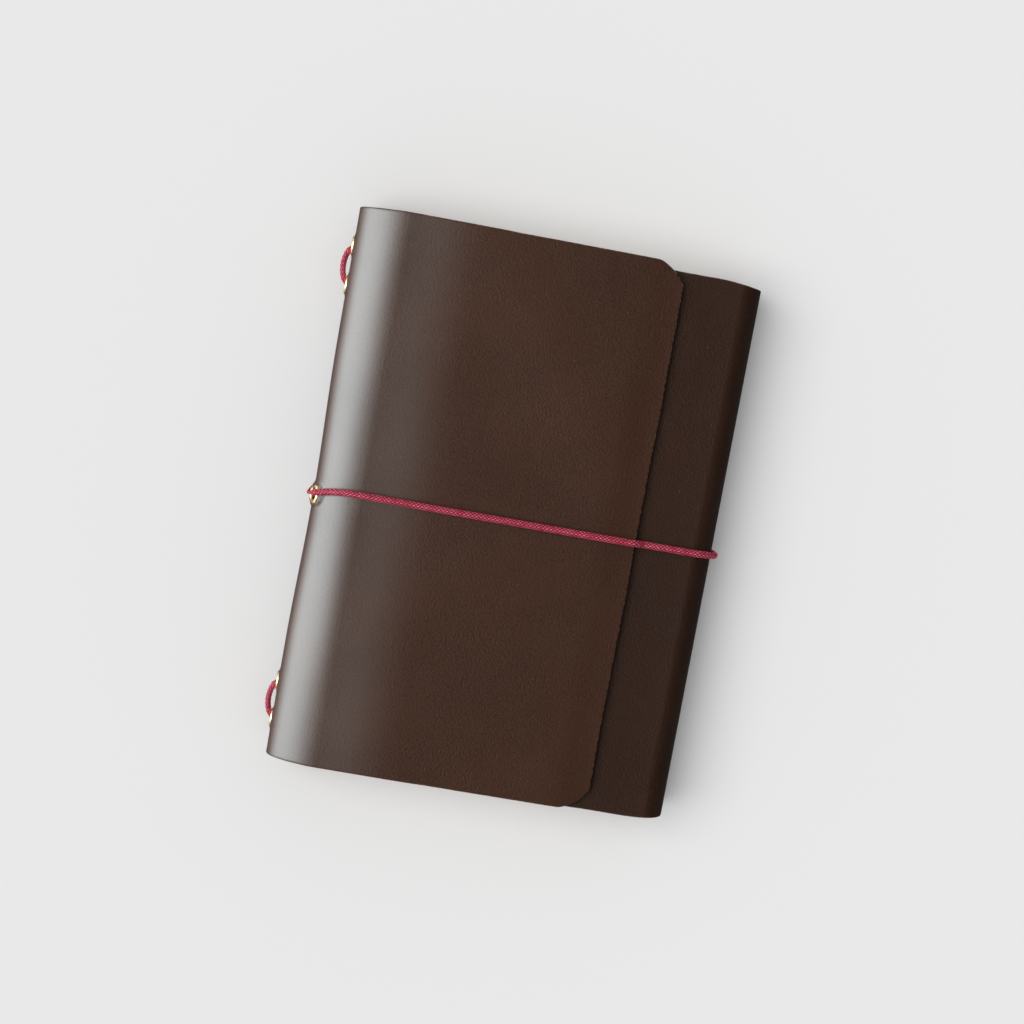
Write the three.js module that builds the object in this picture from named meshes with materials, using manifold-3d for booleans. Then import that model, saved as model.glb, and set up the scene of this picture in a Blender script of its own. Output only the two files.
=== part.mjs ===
// A refillable leather journal, closed and lying on its back cover.
// One sheet of leather wraps two stapled notebooks and ends in a flap tucked under the front panel.
// X runs from the spine to the fore edge, Y from the tail to the head, Z up through the front cover.
import * as THREE from 'three';
import { mergeVertices } from 'three/addons/utils/BufferGeometryUtils.js';
import Module from 'manifold-3d';

const wasm = await Module();
wasm.setup();

// Driving dimensions, in millimetres
const leatherThickness = 2;
const pageWidth = 105;
const pageLength = 148;
const endOverhang = 6;
const pageCornerRadius = 5;
const notebookThickness = 8.5;
const cardThickness = 0.5;
const panelSetback = 24;
const flapReach = 48;
const leatherCornerRadius = 8;
const headTaper = 2.1;

// The spine rounding is a quarter ellipse above and below, the fore edge a plain radius
const spineReach = 15;
const spineRise = 8.6;
const foreEdgeRadius = 7;
const spineSplitAngle = THREE.MathUtils.degToRad(42);

// Eyelets and the elastic cord that they carry
const headEyeletInset = 11.5;
const tailEyeletInset = 9.6;
const eyeletPitch = 11.3;
const closureEyeletOffset = -3.2;
const closureEyeletTilt = THREE.MathUtils.degToRad(25);
const flangeRadius = 2.9;
const flangeRise = 0.7;
const boreRadius = 1.45;
const barrelWall = 0.3;
const setOverRadius = 2.3;
const setOverRise = 0.5;
const cordRadius = 1.05;
const squeezedCordRadius = 0.58;
const loopBulge = 2.1;
const insertKnotRadius = 1.7;
const closureKnotRadius = 2.1;
const closureKnotThickness = 1.8;

// Where the closure elastic lies, and how it draws the soft cover in
const strandOffset = -0.8;
const pressHalfWidth = 10;
const pressFloorGap = 0.1;
const spineSlack = 0.4;
const spineDrawIn = 0.75;
const spineDrawHalfLength = 45;

// Staples in each notebook's fold
const stapleWireRadius = 0.3;
const stapleCrown = 12;
const stapleSpacing = 74;

// Clearances between neighbouring pieces
const seamGap = 0.3;
const layerGap = 0.3;
const blockGap = 0.5;
const leafGap = 0.2;
const cardGap = 0.1;
const cordGap = 0.3;
const barrelGap = 0.12;
const spineRoom = 5;
const foreEdgeRoom = 4;

const point = (x, z) => new THREE.Vector2(x, z);
const place = (x, y, z) => new THREE.Vector3(x, y, z);

// Heights of the stack, from the table up
const lowerFloor = leatherThickness + blockGap;
const lowerFold = lowerFloor + notebookThickness / 2;
const upperFold = lowerFloor + notebookThickness * 1.5 + layerGap;
const flapUnder = lowerFloor + notebookThickness * 2 + layerGap * 2;
const flapTop = flapUnder + leatherThickness;
const coverThickness = flapTop + layerGap + leatherThickness;

// Places along and across the cover
const coverLength = pageLength + endOverhang * 2;
const coverWidth = pageWidth + spineRoom + foreEdgeRoom + leatherThickness * 2;
const spineX = -coverWidth / 2;
const foreX = coverWidth / 2;
const foldX = spineX + leatherThickness + spineRoom;
const pageEndX = foldX + pageWidth;
const panelEndX = foreX - panelSetback;
const flapEndX = foreX - flapReach;
const foldRadius = notebookThickness / 2;
const lowerSpineCentre = point(spineX + spineReach, spineRise);
const upperSpineCentre = point(spineX + spineReach, coverThickness - spineRise);
const lowerForeCentre = point(foreX - foreEdgeRadius, foreEdgeRadius);
const upperForeCentre = point(foreX - foreEdgeRadius, flapTop - foreEdgeRadius);
const foldCordX = foldX + foldRadius + stapleWireRadius * 2 + cordGap + cordRadius;
const pressDepth = pressFloorGap + cordRadius * 2 + cordGap;
const pressTop = lowerFold - leafGap / 2;
const endY = coverLength / 2;
const eyeletZ = coverThickness / 2;
const cordStandoff = cordRadius + cordGap;
const valleyTop = eyeletZ + flangeRadius;

// A smooth swell from 1 at the centre to 0 at one half width away
function swell(distance, halfWidth) {
  const share = Math.min(1, Math.abs(distance) / halfWidth);
  return Math.cos(share * Math.PI / 2) ** 2;
}

// How far the taut strand presses the leather in: straight up under the flat of the back, and
// square to the rounding along the lower half of the spine
function pressedIn(p) {
  const strength = pressDepth * swell(p.y - strandOffset, pressHalfWidth);
  const centre = lowerSpineCentre;
  if (p.x >= centre.x) return place(0, 0, strength * Math.max(0, 1 - p.z / pressTop));
  const across = (p.x - centre.x) / spineReach;
  const down = Math.min(0, (p.z - centre.y) / spineRise);
  const ring = Math.hypot(across, down);
  const turn = Math.atan2(down, across);
  const depthScale = spineReach * Math.cos(turn) ** 2 + spineRise * Math.sin(turn) ** 2;
  const inShare = Math.max(0, 1 - (1 - ring) * depthScale / pressTop);
  const rising = THREE.MathUtils.clamp((valleyTop - p.z) / (valleyTop - centre.y), 0, 1);
  const fade = rising * (1 - spineSlack * Math.cos(turn) ** 2);
  const inward = place(-across / spineReach, 0, -down / spineRise).normalize();
  return inward.multiplyScalar(strength * inShare * fade);
}

// Moves a point of the plain wrapped form to where the taut elastic draws it
function drawnIn(p) {
  const spineShare = THREE.MathUtils.clamp(1 - (p.x - spineX) / spineReach, 0, 1);
  const inward = spineDrawIn * spineShare * swell(p.y - closureEyeletOffset, spineDrawHalfLength);
  return pressedIn(p).add(place(p.x + inward, p.y, p.z));
}

// The head edge of the sheet runs slightly in from the spine towards the flap
function trimmed(p, share) {
  const scale = p.y > 0 ? 1 - headTaper * share / endY : 1;
  return place(p.x, p.y * scale, p.z);
}

// Solids from closed geometry, with every face turned outwards
function solid(geometry) {
  const bare = geometry.clone();
  bare.deleteAttribute('normal');
  bare.deleteAttribute('uv');
  const merged = mergeVertices(bare, 1e-4);
  const vertProperties = new Float32Array(merged.attributes.position.array);
  const triVerts = new Uint32Array(merged.index.array);
  return new wasm.Manifold(new wasm.Mesh({ numProp: 3, vertProperties, triVerts }));
}

function geometryOf(manifold) {
  const mesh = manifold.getMesh();
  const geometry = new THREE.BufferGeometry();
  geometry.setAttribute('position', new THREE.BufferAttribute(new Float32Array(mesh.vertProperties), 3));
  geometry.setIndex(new THREE.BufferAttribute(new Uint32Array(mesh.triVerts), 1));
  return geometry;
}

// Skins a row of like rings and closes both ends, where flat holds the first ring in its own plane
function skinned(rings, flat) {
  const count = flat.length;
  const corners = [];
  const clockwise = THREE.ShapeUtils.isClockWise(flat);
  const found = THREE.ShapeUtils.triangulateShape(flat, []);
  const lid = found.map(([a, b, c]) => (clockwise ? [a, c, b] : [a, b, c]));
  for (const [a, b, c] of lid) corners.push(a, c, b);
  const last = (rings.length - 1) * count;
  for (const [a, b, c] of lid) corners.push(last + a, last + b, last + c);
  for (let r = 0; r < rings.length - 1; r++) {
    for (let i = 0; i < count; i++) {
      const here = r * count + i;
      const next = r * count + (i + 1) % count;
      corners.push(here, next, next + count, here, next + count, here + count);
    }
  }
  const geometry = new THREE.BufferGeometry();
  geometry.setFromPoints(rings.flat());
  geometry.setIndex(corners);
  return turnedOut(geometry);
}

function turnedOut(geometry) {
  const position = geometry.attributes.position;
  const index = geometry.index.array;
  const [a, b, c] = [place(0, 0, 0), place(0, 0, 0), place(0, 0, 0)];
  let volume = 0;
  for (let i = 0; i < index.length; i += 3) {
    a.fromBufferAttribute(position, index[i]);
    b.fromBufferAttribute(position, index[i + 1]);
    c.fromBufferAttribute(position, index[i + 2]);
    volume += a.dot(b.cross(c));
  }
  if (volume < 0) {
    for (let i = 0; i < index.length; i += 3) {
      [index[i], index[i + 1]] = [index[i + 1], index[i]];
    }
  }
  return geometry;
}

// A profile in X and Z, carried along Y through the given stations
function carried(profile, stations, shape = (p) => p) {
  const rings = stations.map((y) => profile.map((p) => shape(place(p.x, y, p.y))));
  return skinned(rings, profile);
}

// A round cord through the route's points, with the radius that radiusAt gives for each share
function cordAlong(route, stepsPerSpan, sides, radiusAt) {
  const curve = new THREE.CatmullRomCurve3(route, false, 'centripetal');
  const steps = (route.length - 1) * stepsPerSpan;
  const rings = [];
  let across = null;
  for (let k = 0; k <= steps; k++) {
    const share = k / steps;
    const centre = curve.getPoint(share);
    const tangent = curve.getTangent(share);
    across ??= new THREE.Vector3(0, 1, 0.01).cross(tangent);
    across.addScaledVector(tangent, -across.dot(tangent)).normalize();
    const up = tangent.clone().cross(across);
    const ring = [];
    for (let i = 0; i < sides; i++) {
      const angle = i / sides * Math.PI * 2;
      const arm = across.clone().multiplyScalar(Math.cos(angle)).addScaledVector(up, Math.sin(angle));
      ring.push(centre.clone().addScaledVector(arm, radiusAt(share)));
    }
    rings.push(ring);
  }
  const flat = [];
  for (let i = 0; i < sides; i++) {
    const angle = i / sides * Math.PI * 2;
    flat.push(point(Math.cos(angle), Math.sin(angle)));
  }
  return skinned(rings, flat);
}

// An arc of an ellipse, from one angle to another, both ends included
function ellipseArc(centre, reach, rise, from, to, pieces) {
  const points = [];
  for (let i = 0; i <= pieces; i++) {
    const angle = from + (to - from) * i / pieces;
    points.push(point(centre.x + reach * Math.cos(angle), centre.y + rise * Math.sin(angle)));
  }
  return points;
}

// Flat pieces in each quarter of the spine rounding and of the fore edge rounding
const spinePieces = 10;
const forePieces = 7;

function spineArc(centre, inset, from, to, pieces) {
  return ellipseArc(centre, spineReach - inset, spineRise - inset, from, to, pieces);
}

function foreArc(centre, inset, from, to) {
  const radius = foreEdgeRadius - inset;
  return ellipseArc(centre, radius, radius, from, to, forePieces);
}

const halfTurn = Math.PI;
const quarterTurn = Math.PI / 2;
const seamAngle = seamGap / Math.hypot(
  spineReach * Math.sin(spineSplitAngle), spineRise * Math.cos(spineSplitAngle));

const outerBack = [
  ...spineArc(lowerSpineCentre, 0, halfTurn, halfTurn + quarterTurn, spinePieces),
  ...foreArc(lowerForeCentre, 0, -quarterTurn, 0),
];
const innerBack = [
  ...spineArc(lowerSpineCentre, leatherThickness, halfTurn, halfTurn + quarterTurn, spinePieces),
  ...foreArc(lowerForeCentre, leatherThickness, -quarterTurn, 0),
];
const splitTop = halfTurn - spineSplitAngle;
const spineLevels = [spineRise + seamGap, (spineRise + valleyTop) / 2, valleyTop];
const outerSpine = [
  ...spineLevels.map((z) => point(spineX, z)),
  ...spineArc(upperSpineCentre, 0, halfTurn, splitTop, spinePieces),
];
const innerSpine = [
  ...spineLevels.map((z) => point(spineX + leatherThickness, z)),
  ...spineArc(upperSpineCentre, leatherThickness, halfTurn, splitTop, spinePieces),
];
const outerFront = [
  ...spineArc(upperSpineCentre, 0, splitTop - seamAngle, quarterTurn, spinePieces),
  point(panelEndX, coverThickness),
];
const innerFront = [
  ...spineArc(upperSpineCentre, leatherThickness, splitTop - seamAngle, quarterTurn, spinePieces),
  point(panelEndX, coverThickness - leatherThickness),
];
const outerFlap = [
  ...foreArc(upperForeCentre, 0, 0, quarterTurn),
  point(flapEndX, flapTop),
];
const innerFlap = [
  ...foreArc(upperForeCentre, leatherThickness, 0, quarterTurn),
  point(flapEndX, flapUnder),
];

// Stations along Y, closer together where the elastic draws the leather in
function stationsTo(half, near) {
  const wide = [0.3, 0.55, 1].map((share) => share * spineDrawHalfLength);
  const close = [0, 0.12, 0.24, 0.38, 0.55, 0.75, 1].map((share) => share * pressHalfWidth);
  const all = near ? [...close, ...wide] : wide;
  const inside = [];
  for (const reach of all) inside.push(strandOffset + reach, strandOffset - reach);
  const kept = inside.filter((y) => Math.abs(y) < half - 1);
  return [...new Set([-half, ...kept, half])].sort((a, b) => a - b);
}

// A flat outline with round corners on its fore edge side, standing as a prism through all heights
function roundedPrism(fromX, toX, half, radius) {
  const shape = new THREE.Shape();
  shape.moveTo(fromX, -half);
  shape.lineTo(toX - radius, -half);
  shape.absarc(toX - radius, -half + radius, radius, -quarterTurn, 0, false);
  shape.lineTo(toX, half - radius);
  shape.absarc(toX - radius, half - radius, radius, 0, quarterTurn, false);
  shape.lineTo(fromX, half);
  const depth = coverThickness * 2;
  const prism = new THREE.ExtrudeGeometry(shape, { depth, bevelEnabled: false, curveSegments: 6 });
  return solid(prism.translate(0, 0, -depth / 4));
}

// The bevelled free corners that a knife leaves on the leather's two ends
function cutCorners(leather, endX, towards) {
  const prism = roundedPrism(-coverWidth, towards * endX, endY, leatherCornerRadius);
  return leather.intersect(towards > 0 ? prism : prism.mirror([1, 0, 0]));
}

function leather(outer, inner, near, taper) {
  const profile = [...outer, ...inner.slice().reverse()];
  const shape = (p) => trimmed(drawnIn(p), taper(p));
  return solid(carried(profile, stationsTo(endY, near), shape));
}

const noTaper = () => 0;
const fullTaper = () => 1;
const backTaper = (p) => THREE.MathUtils.clamp((p.x - spineX) / coverWidth, 0, 1);

// Eyelets: a rolled flange outside, a barrel through the leather and a set-over ring inside
const flangeEdgeRise = flangeRise * 0.33;
const flangeMouthRise = flangeRise * 0.55;
const flangeShoulderRise = flangeRise * 0.85;

function eyeletProfile(grip) {
  const outer = boreRadius + barrelWall;
  const crest = (boreRadius + flangeRadius) / 2;
  return [
    point(boreRadius, -grip - setOverRise), point(setOverRadius, -grip - setOverRise),
    point(setOverRadius, -grip), point(outer, -grip), point(outer, 0), point(flangeRadius, 0),
    point(flangeRadius, flangeEdgeRise), point((crest + flangeRadius) / 2, flangeShoulderRise),
    point(crest, flangeRise), point((crest + boreRadius) / 2, flangeShoulderRise),
    point(boreRadius, flangeMouthRise), point(boreRadius, -grip - setOverRise),
  ];
}

// An axis frame on the outer face of the spine, where out points away from the leather
function spineFrame(x, y, z, tilt) {
  const seat = drawnIn(place(x, y, z));
  const out = place(-Math.cos(tilt), 0, Math.sin(tilt));
  const up = place(Math.sin(tilt), 0, Math.cos(tilt));
  return { seat, out, up, tilt };
}

function onFrame(frame, up, out, along = 0) {
  const spot = frame.seat.clone().addScaledVector(frame.up, up).addScaledVector(frame.out, out);
  return spot.add(place(0, along, 0));
}

// Carries a shape made on the Y axis onto the frame's outward direction
function turnedTo(geometry, frame, out) {
  const turn = new THREE.Quaternion().setFromUnitVectors(place(0, 1, 0), frame.out);
  return geometry.applyQuaternion(turn).translate(...onFrame(frame, 0, out).toArray());
}

const eyeletSides = 16;

function eyelet(frame, grip) {
  const lathe = new THREE.LatheGeometry(eyeletProfile(grip), eyeletSides);
  return turnedTo(lathe, frame, seatLift);
}

function eyeletHole(frame) {
  const radius = boreRadius + barrelWall + barrelGap;
  const drill = new THREE.CylinderGeometry(radius, radius, leatherThickness * 6, eyeletSides);
  return solid(turnedTo(drill, frame, 0));
}

const seatLift = 0.05;
const pairYs = [
  endY - headEyeletInset, endY - headEyeletInset - eyeletPitch,
  -endY + tailEyeletInset + eyeletPitch, -endY + tailEyeletInset,
];
const pairFrames = pairYs.map((y) => spineFrame(spineX, y, eyeletZ, 0));
const closureAngle = Math.atan(Math.tan(closureEyeletTilt) * spineRise / spineReach);
const closureSeat = point(
  upperSpineCentre.x - spineReach * Math.cos(closureAngle),
  upperSpineCentre.y + spineRise * Math.sin(closureAngle));
const closureFrame = spineFrame(closureSeat.x, closureEyeletOffset, closureSeat.y, closureEyeletTilt);

// How deep the curved inner face of the spine reaches behind the closure eyelet's ring
function closureGrip() {
  let deepest = leatherThickness;
  for (const p of innerSpine) {
    for (const y of [closureEyeletOffset, strandOffset]) {
      const inside = drawnIn(place(p.x, y, p.y)).sub(closureFrame.seat);
      if (Math.abs(inside.dot(closureFrame.up)) < setOverRadius + 1) {
        deepest = Math.max(deepest, -inside.dot(closureFrame.out));
      }
    }
  }
  return deepest;
}

const pairGrip = leatherThickness + seatLift * 2;
const ringGrip = closureGrip() + seatLift * 2;

// Half of a stapled notebook: side is 1 above its fold and -1 below it
function arcFromFold(fold, side, inset) {
  const radius = foldRadius - inset;
  const points = [point(foldX + inset, fold + side * leafGap / 2)];
  const pieces = 9;
  for (let i = 1; i <= pieces; i++) {
    const angle = i / pieces * quarterTurn;
    const x = foldX + foldRadius - radius * Math.cos(angle);
    points.push(point(x, fold + side * radius * Math.sin(angle)));
  }
  return points;
}

function cardProfile(fold, side) {
  const outer = [...arcFromFold(fold, side, 0), point(pageEndX, fold + side * foldRadius)];
  const under = point(pageEndX, fold + side * (foldRadius - cardThickness));
  return [...outer, under, ...arcFromFold(fold, side, cardThickness).reverse()];
}

function pagesProfile(fold, side) {
  const inset = cardThickness + cardGap;
  const top = point(pageEndX, fold + side * (foldRadius - inset));
  return [...arcFromFold(fold, side, inset), top, point(pageEndX, fold + side * leafGap / 2)];
}

const stapleYs = [stapleSpacing / 2, -stapleSpacing / 2];
const crownX = foldX + stapleWireRadius + cardGap / 2;
const clinchX = foldX + foldRadius + stapleWireRadius;
const stapleLegInset = stapleCrown / 2;

// Room in a fold for the cord that holds the notebook and for its staples
function foldRoom(fold) {
  const grooveRadius = cordRadius + cordGap;
  const groove = new THREE.CylinderGeometry(grooveRadius, grooveRadius, coverLength, 12);
  let room = solid(groove.translate(foldCordX, 0, fold));
  const slot = (stapleWireRadius + cardGap * 1.5) * 2;
  const clinchLength = stapleCrown + slot;
  const crownRoom = crownX - foldX + slot / 2;
  for (const y of stapleYs) {
    const clinch = new THREE.BoxGeometry(slot, clinchLength, slot);
    const crown = new THREE.CylinderGeometry(crownRoom, crownRoom, clinchLength, 12);
    room = room.add(solid(clinch.translate(clinchX, y, fold)));
    room = room.add(solid(crown.translate(foldX, y, fold)));
    for (const side of [-1, 1]) {
      const leg = new THREE.BoxGeometry(clinchX - crownX + slot, slot, slot);
      const middle = (clinchX + crownX) / 2;
      room = room.add(solid(leg.translate(middle, y + side * stapleLegInset, fold)));
    }
  }
  return room;
}

function leaf(profile, near, room) {
  const shape = near ? drawnBelow : (p) => p;
  const body = solid(carried(profile, stationsTo(pageLength / 2, near), shape));
  const outline = roundedPrism(foldX - spineRoom, pageEndX, pageLength / 2, pageCornerRadius);
  return geometryOf(body.intersect(outline).subtract(room));
}

// The lowest leaves give way over the elastic, while their fold stays straight
function drawnBelow(p) {
  const upward = pressDepth * swell(p.y - strandOffset, pressHalfWidth) * Math.max(0, 1 - p.z / pressTop);
  return place(p.x, p.y, p.z + upward);
}

// A wire bent square round four corners, with a small gap between its two clinched tips
function staple(y, fold) {
  const tip = stapleWireRadius * 3;
  const bend = stapleWireRadius * 2;
  const cut = bend * (1 - Math.SQRT1_2);
  const side = (s) => [
    place(clinchX, y + s * tip, fold),
    place(clinchX, y + s * (stapleLegInset - bend), fold),
    place(clinchX - cut, y + s * (stapleLegInset - cut), fold),
    place(clinchX - bend, y + s * stapleLegInset, fold),
    place(crownX + bend, y + s * stapleLegInset, fold),
    place(crownX + cut, y + s * (stapleLegInset - cut), fold),
    place(crownX, y + s * (stapleLegInset - bend), fold),
  ];
  return cordAlong([...side(1), ...side(-1).reverse()], 1, 6, () => stapleWireRadius);
}

// The outer line of the leather at the elastic, moved out by the cord's standoff
function offsetOutwards(outline) {
  const line = outline.map((p) => drawnIn(place(p.x, strandOffset, p.y)));
  const last = line.length - 1;
  return line.map((here, i) => {
    const along = line[Math.min(i + 1, last)].clone().sub(line[Math.max(i - 1, 0)]).normalize();
    return place(here.x - along.z * cordStandoff, here.y, here.z + along.x * cordStandoff);
  });
}

// Adds points near both ends of each long stretch, so that the curve runs straight along it
function heldStraight(route) {
  const held = [route[0]];
  for (let i = 1; i < route.length; i++) {
    const [from, to] = [route[i - 1], route[i]];
    const length = from.distanceTo(to);
    const near = Math.min(0.25, cordRadius * 2 / length);
    if (length > cordRadius * 8) {
      for (const share of [near, near * 2.5, 1 - near * 2.5, 1 - near]) {
        held.push(from.clone().lerp(to, share));
      }
    }
    held.push(to);
  }
  return held;
}

// The closure elastic: both ends squeezed through the eyelet, and one loop around the cover
const lipCross = flangeRise + seatLift + cordRadius + barrelGap;
const thinSpans = 2;
const swellSpans = 2;

function leavingEyelet(side) {
  const inHole = squeezedCordRadius + cardGap;
  const lean = (strandOffset - closureEyeletOffset) / 2;
  return [
    onFrame(closureFrame, side * inHole, -ringGrip - setOverRise),
    onFrame(closureFrame, side * inHole, -leatherThickness / 2),
    onFrame(closureFrame, side * inHole * 1.15, flangeRise),
    onFrame(closureFrame, side * boreRadius, lipCross, lean * 0.3),
    onFrame(closureFrame, side * flangeRadius, lipCross, lean),
  ];
}

function closureRoute() {
  const front = offsetOutwards(outerFront);
  const flap = offsetOutwards(outerFlap.slice(0, -1).reverse());
  const back = offsetOutwards([...outerBack].reverse());
  const lowSpine = offsetOutwards([point(spineX, spineRise), point(spineX, eyeletZ)]);
  const home = leavingEyelet(-1).reverse();
  return heldStraight([...leavingEyelet(1), ...front, ...flap, ...back, lowSpine[1], ...home]);
}

function closureElastic() {
  const route = closureRoute();
  const spans = route.length - 1;
  const radiusAt = (share) => {
    const fromEnd = Math.min(share, 1 - share) * spans;
    const grown = THREE.MathUtils.smoothstep(fromEnd, thinSpans, thinSpans + swellSpans);
    return THREE.MathUtils.lerp(squeezedCordRadius, cordRadius, grown);
  };
  return cordAlong(route, 1, 8, radiusAt);
}

function closureKnot() {
  const ball = new THREE.SphereGeometry(1, 12, 8);
  const half = closureKnotThickness / 2;
  ball.scale(closureKnotRadius, half, closureKnotRadius);
  const depth = ringGrip + setOverRise + cordGap + half;
  return turnedTo(ball, closureFrame, -depth);
}

// The insert elastic: one cord laced through the four paired eyelets, with a run in each fold
const channelX = spineX + leatherThickness + spineRoom / 2;
const endRunY = pageLength / 2 + cordStandoff;
const insertKnotPlace = place(
  channelX, pairYs[0] + insertKnotRadius * 2.2, (eyeletZ + lowerFold) / 2);

// From inside one eyelet, out and over to the next one, and in again
function outsideLoop(from, to) {
  const towards = Math.sign(to - from);
  const bend = boreRadius * towards;
  const inside = spineX + leatherThickness;
  const outside = (y, out) => place(spineX - out, y, eyeletZ);
  return [
    place(inside, from, eyeletZ),
    outside(from, 0),
    outside(from + bend * 0.2, flangeRise),
    outside(from + bend, lipCross),
    outside((from + to) / 2, loopBulge),
    outside(to - bend, lipCross),
    outside(to - bend * 0.2, flangeRise),
    outside(to, 0),
    place(inside, to, eyeletZ),
  ];
}

// From the channel behind the spine, round the end of a notebook and into its fold. Both corners
// are drawn in steps of the bend's own radius
function roundEnd(side, fold) {
  const end = side * endRunY;
  const turn = cordRadius * 1.4;
  return [
    place(channelX, end - side * turn * 2, fold),
    place(channelX + turn * 0.4, end - side * turn * 0.6, fold),
    place(channelX + turn * 1.4, end, fold),
    place(foldCordX - turn * 1.4, end, fold),
    place(foldCordX - turn * 0.4, end - side * turn * 0.4, fold),
    place(foldCordX, end - side * turn * 1.4, fold),
    place(foldCordX, end - side * turn * 4, fold),
  ];
}

// Behind the spine, from an eyelet's height to a fold's, leaning away along the spine on the way
function behindSpine(y, side, fold) {
  const climb = insertKnotRadius * 2;
  return [
    place(channelX - cordRadius * 0.6, y + side * cordRadius * 0.3, eyeletZ),
    place(channelX, y + side * cordRadius * 1.3, THREE.MathUtils.lerp(eyeletZ, fold, 0.2)),
    place(channelX, y + side * climb * 1.3, THREE.MathUtils.lerp(eyeletZ, fold, 0.9)),
  ];
}

function insertRoute() {
  const [headOut, headIn, tailIn, tailOut] = pairYs;
  const knot = insertKnotPlace;
  const first = place(channelX, headOut, eyeletZ);
  const away = first.clone().sub(knot).normalize().multiplyScalar(insertKnotRadius + cordGap);
  const lastEnd = roundEnd(1, lowerFold).slice(1);
  const back = lastEnd[0].clone().sub(knot).normalize().multiplyScalar(insertKnotRadius + cordGap);
  return [
    knot.clone().add(away),
    place(channelX - cordRadius * 0.5, headOut + cordRadius * 0.4, eyeletZ - cordRadius * 0.3),
    ...outsideLoop(headOut, headIn),
    ...behindSpine(headIn, 1, upperFold),
    ...roundEnd(1, upperFold),
    ...roundEnd(-1, upperFold).reverse(),
    ...behindSpine(tailIn, -1, upperFold).reverse(),
    ...outsideLoop(tailIn, tailOut),
    ...behindSpine(tailOut, -1, lowerFold).slice(0, 2),
    ...roundEnd(-1, lowerFold).slice(1),
    ...lastEnd.reverse(),
    knot.clone().add(back),
  ];
}

function insertKnot() {
  const ball = new THREE.SphereGeometry(insertKnotRadius, 12, 8);
  return ball.translate(...insertKnotPlace.toArray());
}

// Finishes and the assembled group
const finishes = {
  leather: { color: 0x3b2620, roughness: 0.55, metalness: 0 },
  cord: { color: 0x962d46, roughness: 0.8, metalness: 0 },
  brass: { color: 0xd8b060, roughness: 0.3, metalness: 1 },
  card: { color: 0xb08d5f, roughness: 0.9, metalness: 0 },
  paper: { color: 0xf1e9d4, roughness: 0.95, metalness: 0 },
  steel: { color: 0xb4b6b8, roughness: 0.35, metalness: 1 },
};

const journal = new THREE.Group();

function addPiece(name, finish, geometry) {
  const bare = geometry.clone();
  bare.deleteAttribute('uv');
  const mesh = new THREE.Mesh(bare, new THREE.MeshStandardMaterial(finishes[finish]));
  mesh.name = name;
  journal.add(mesh);
}

const holes = [...pairFrames, closureFrame].map(eyeletHole);
let spineLeather = leather(outerSpine, innerSpine, true, noTaper);
for (const hole of holes) spineLeather = spineLeather.subtract(hole);
const foreEdgeSide = [
  point(foreX, foreEdgeRadius + seamGap), point(foreX, upperForeCentre.y - seamGap),
];
const foreEdgeInside = foreEdgeSide.map((p) => point(p.x - leatherThickness, p.y));
const frontLeather = cutCorners(leather(outerFront, innerFront, true, noTaper), panelEndX, 1);
const flapLeather = cutCorners(leather(outerFlap, innerFlap, false, fullTaper), flapEndX, -1);

addPiece('back_cover_leather', 'leather', geometryOf(leather(outerBack, innerBack, true, backTaper)));
addPiece('spine_leather', 'leather', geometryOf(spineLeather));
addPiece('front_cover_leather', 'leather', geometryOf(frontLeather));
addPiece('fore_edge_leather', 'leather', geometryOf(
  leather(foreEdgeSide, foreEdgeInside, false, fullTaper)));
addPiece('flap_leather', 'leather', geometryOf(flapLeather));

const pairNames = ['head_outer_eyelet', 'head_inner_eyelet', 'tail_inner_eyelet', 'tail_outer_eyelet'];
pairFrames.forEach((frame, i) => addPiece(pairNames[i], 'brass', eyelet(frame, pairGrip)));
addPiece('closure_eyelet', 'brass', eyelet(closureFrame, ringGrip));
addPiece('closure_elastic', 'cord', closureElastic());
addPiece('closure_knot', 'cord', closureKnot());
addPiece('insert_elastic', 'cord', cordAlong(insertRoute(), 2, 8, () => cordRadius));
addPiece('insert_knot', 'cord', insertKnot());

const notebooks = [['lower', lowerFold], ['upper', upperFold]];
for (const [name, fold] of notebooks) {
  const room = foldRoom(fold);
  for (const [half, side] of [['front', 1], ['back', -1]]) {
    const near = name === 'lower' && side < 0;
    addPiece(`${name}_notebook_${half}_card`, 'card', leaf(cardProfile(fold, side), near, room));
    addPiece(`${name}_notebook_${half}_pages`, 'paper', leaf(pagesProfile(fold, side), near, room));
  }
  addPiece(`${name}_head_staple`, 'steel', staple(stapleYs[0], fold));
  addPiece(`${name}_tail_staple`, 'steel', staple(stapleYs[1], fold));
}

// The whole object stands centred on its origin, cords and loops included
const extent = new THREE.Box3().setFromObject(journal);
journal.position.x = -(extent.min.x + extent.max.x) / 2;

// Fold lines along Y, in X and Z, each where the flattened leather keeps its length
function quarterLength(reach, rise) {
  const arc = ellipseArc(point(0, 0), reach, rise, 0, quarterTurn, 64);
  return arc.slice(1).reduce((sum, p, i) => sum + p.distanceTo(arc[i]), 0);
}

const spineFoldInset = (spineReach + spineRise - quarterLength(spineReach, spineRise)) / 2;
const foreFoldInset = foreEdgeRadius - quarterLength(foreEdgeRadius, foreEdgeRadius) / 2;
const shift = journal.position.x;
journal.userData.foldLines = {
  spine: [spineX + spineFoldInset + shift, spineFoldInset],
  frontCover: [spineX + spineFoldInset + shift, coverThickness - spineFoldInset],
  foreEdge: [foreX - foreFoldInset + shift, foreFoldInset],
  flap: [foreX - foreFoldInset + shift, flapTop - foreFoldInset],
};
journal.userData.closureHinge = [spineX - cordStandoff + shift, strandOffset, closureSeat.y];

export default journal;
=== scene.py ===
import bpy
import numpy as np
from mathutils import Matrix


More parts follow.
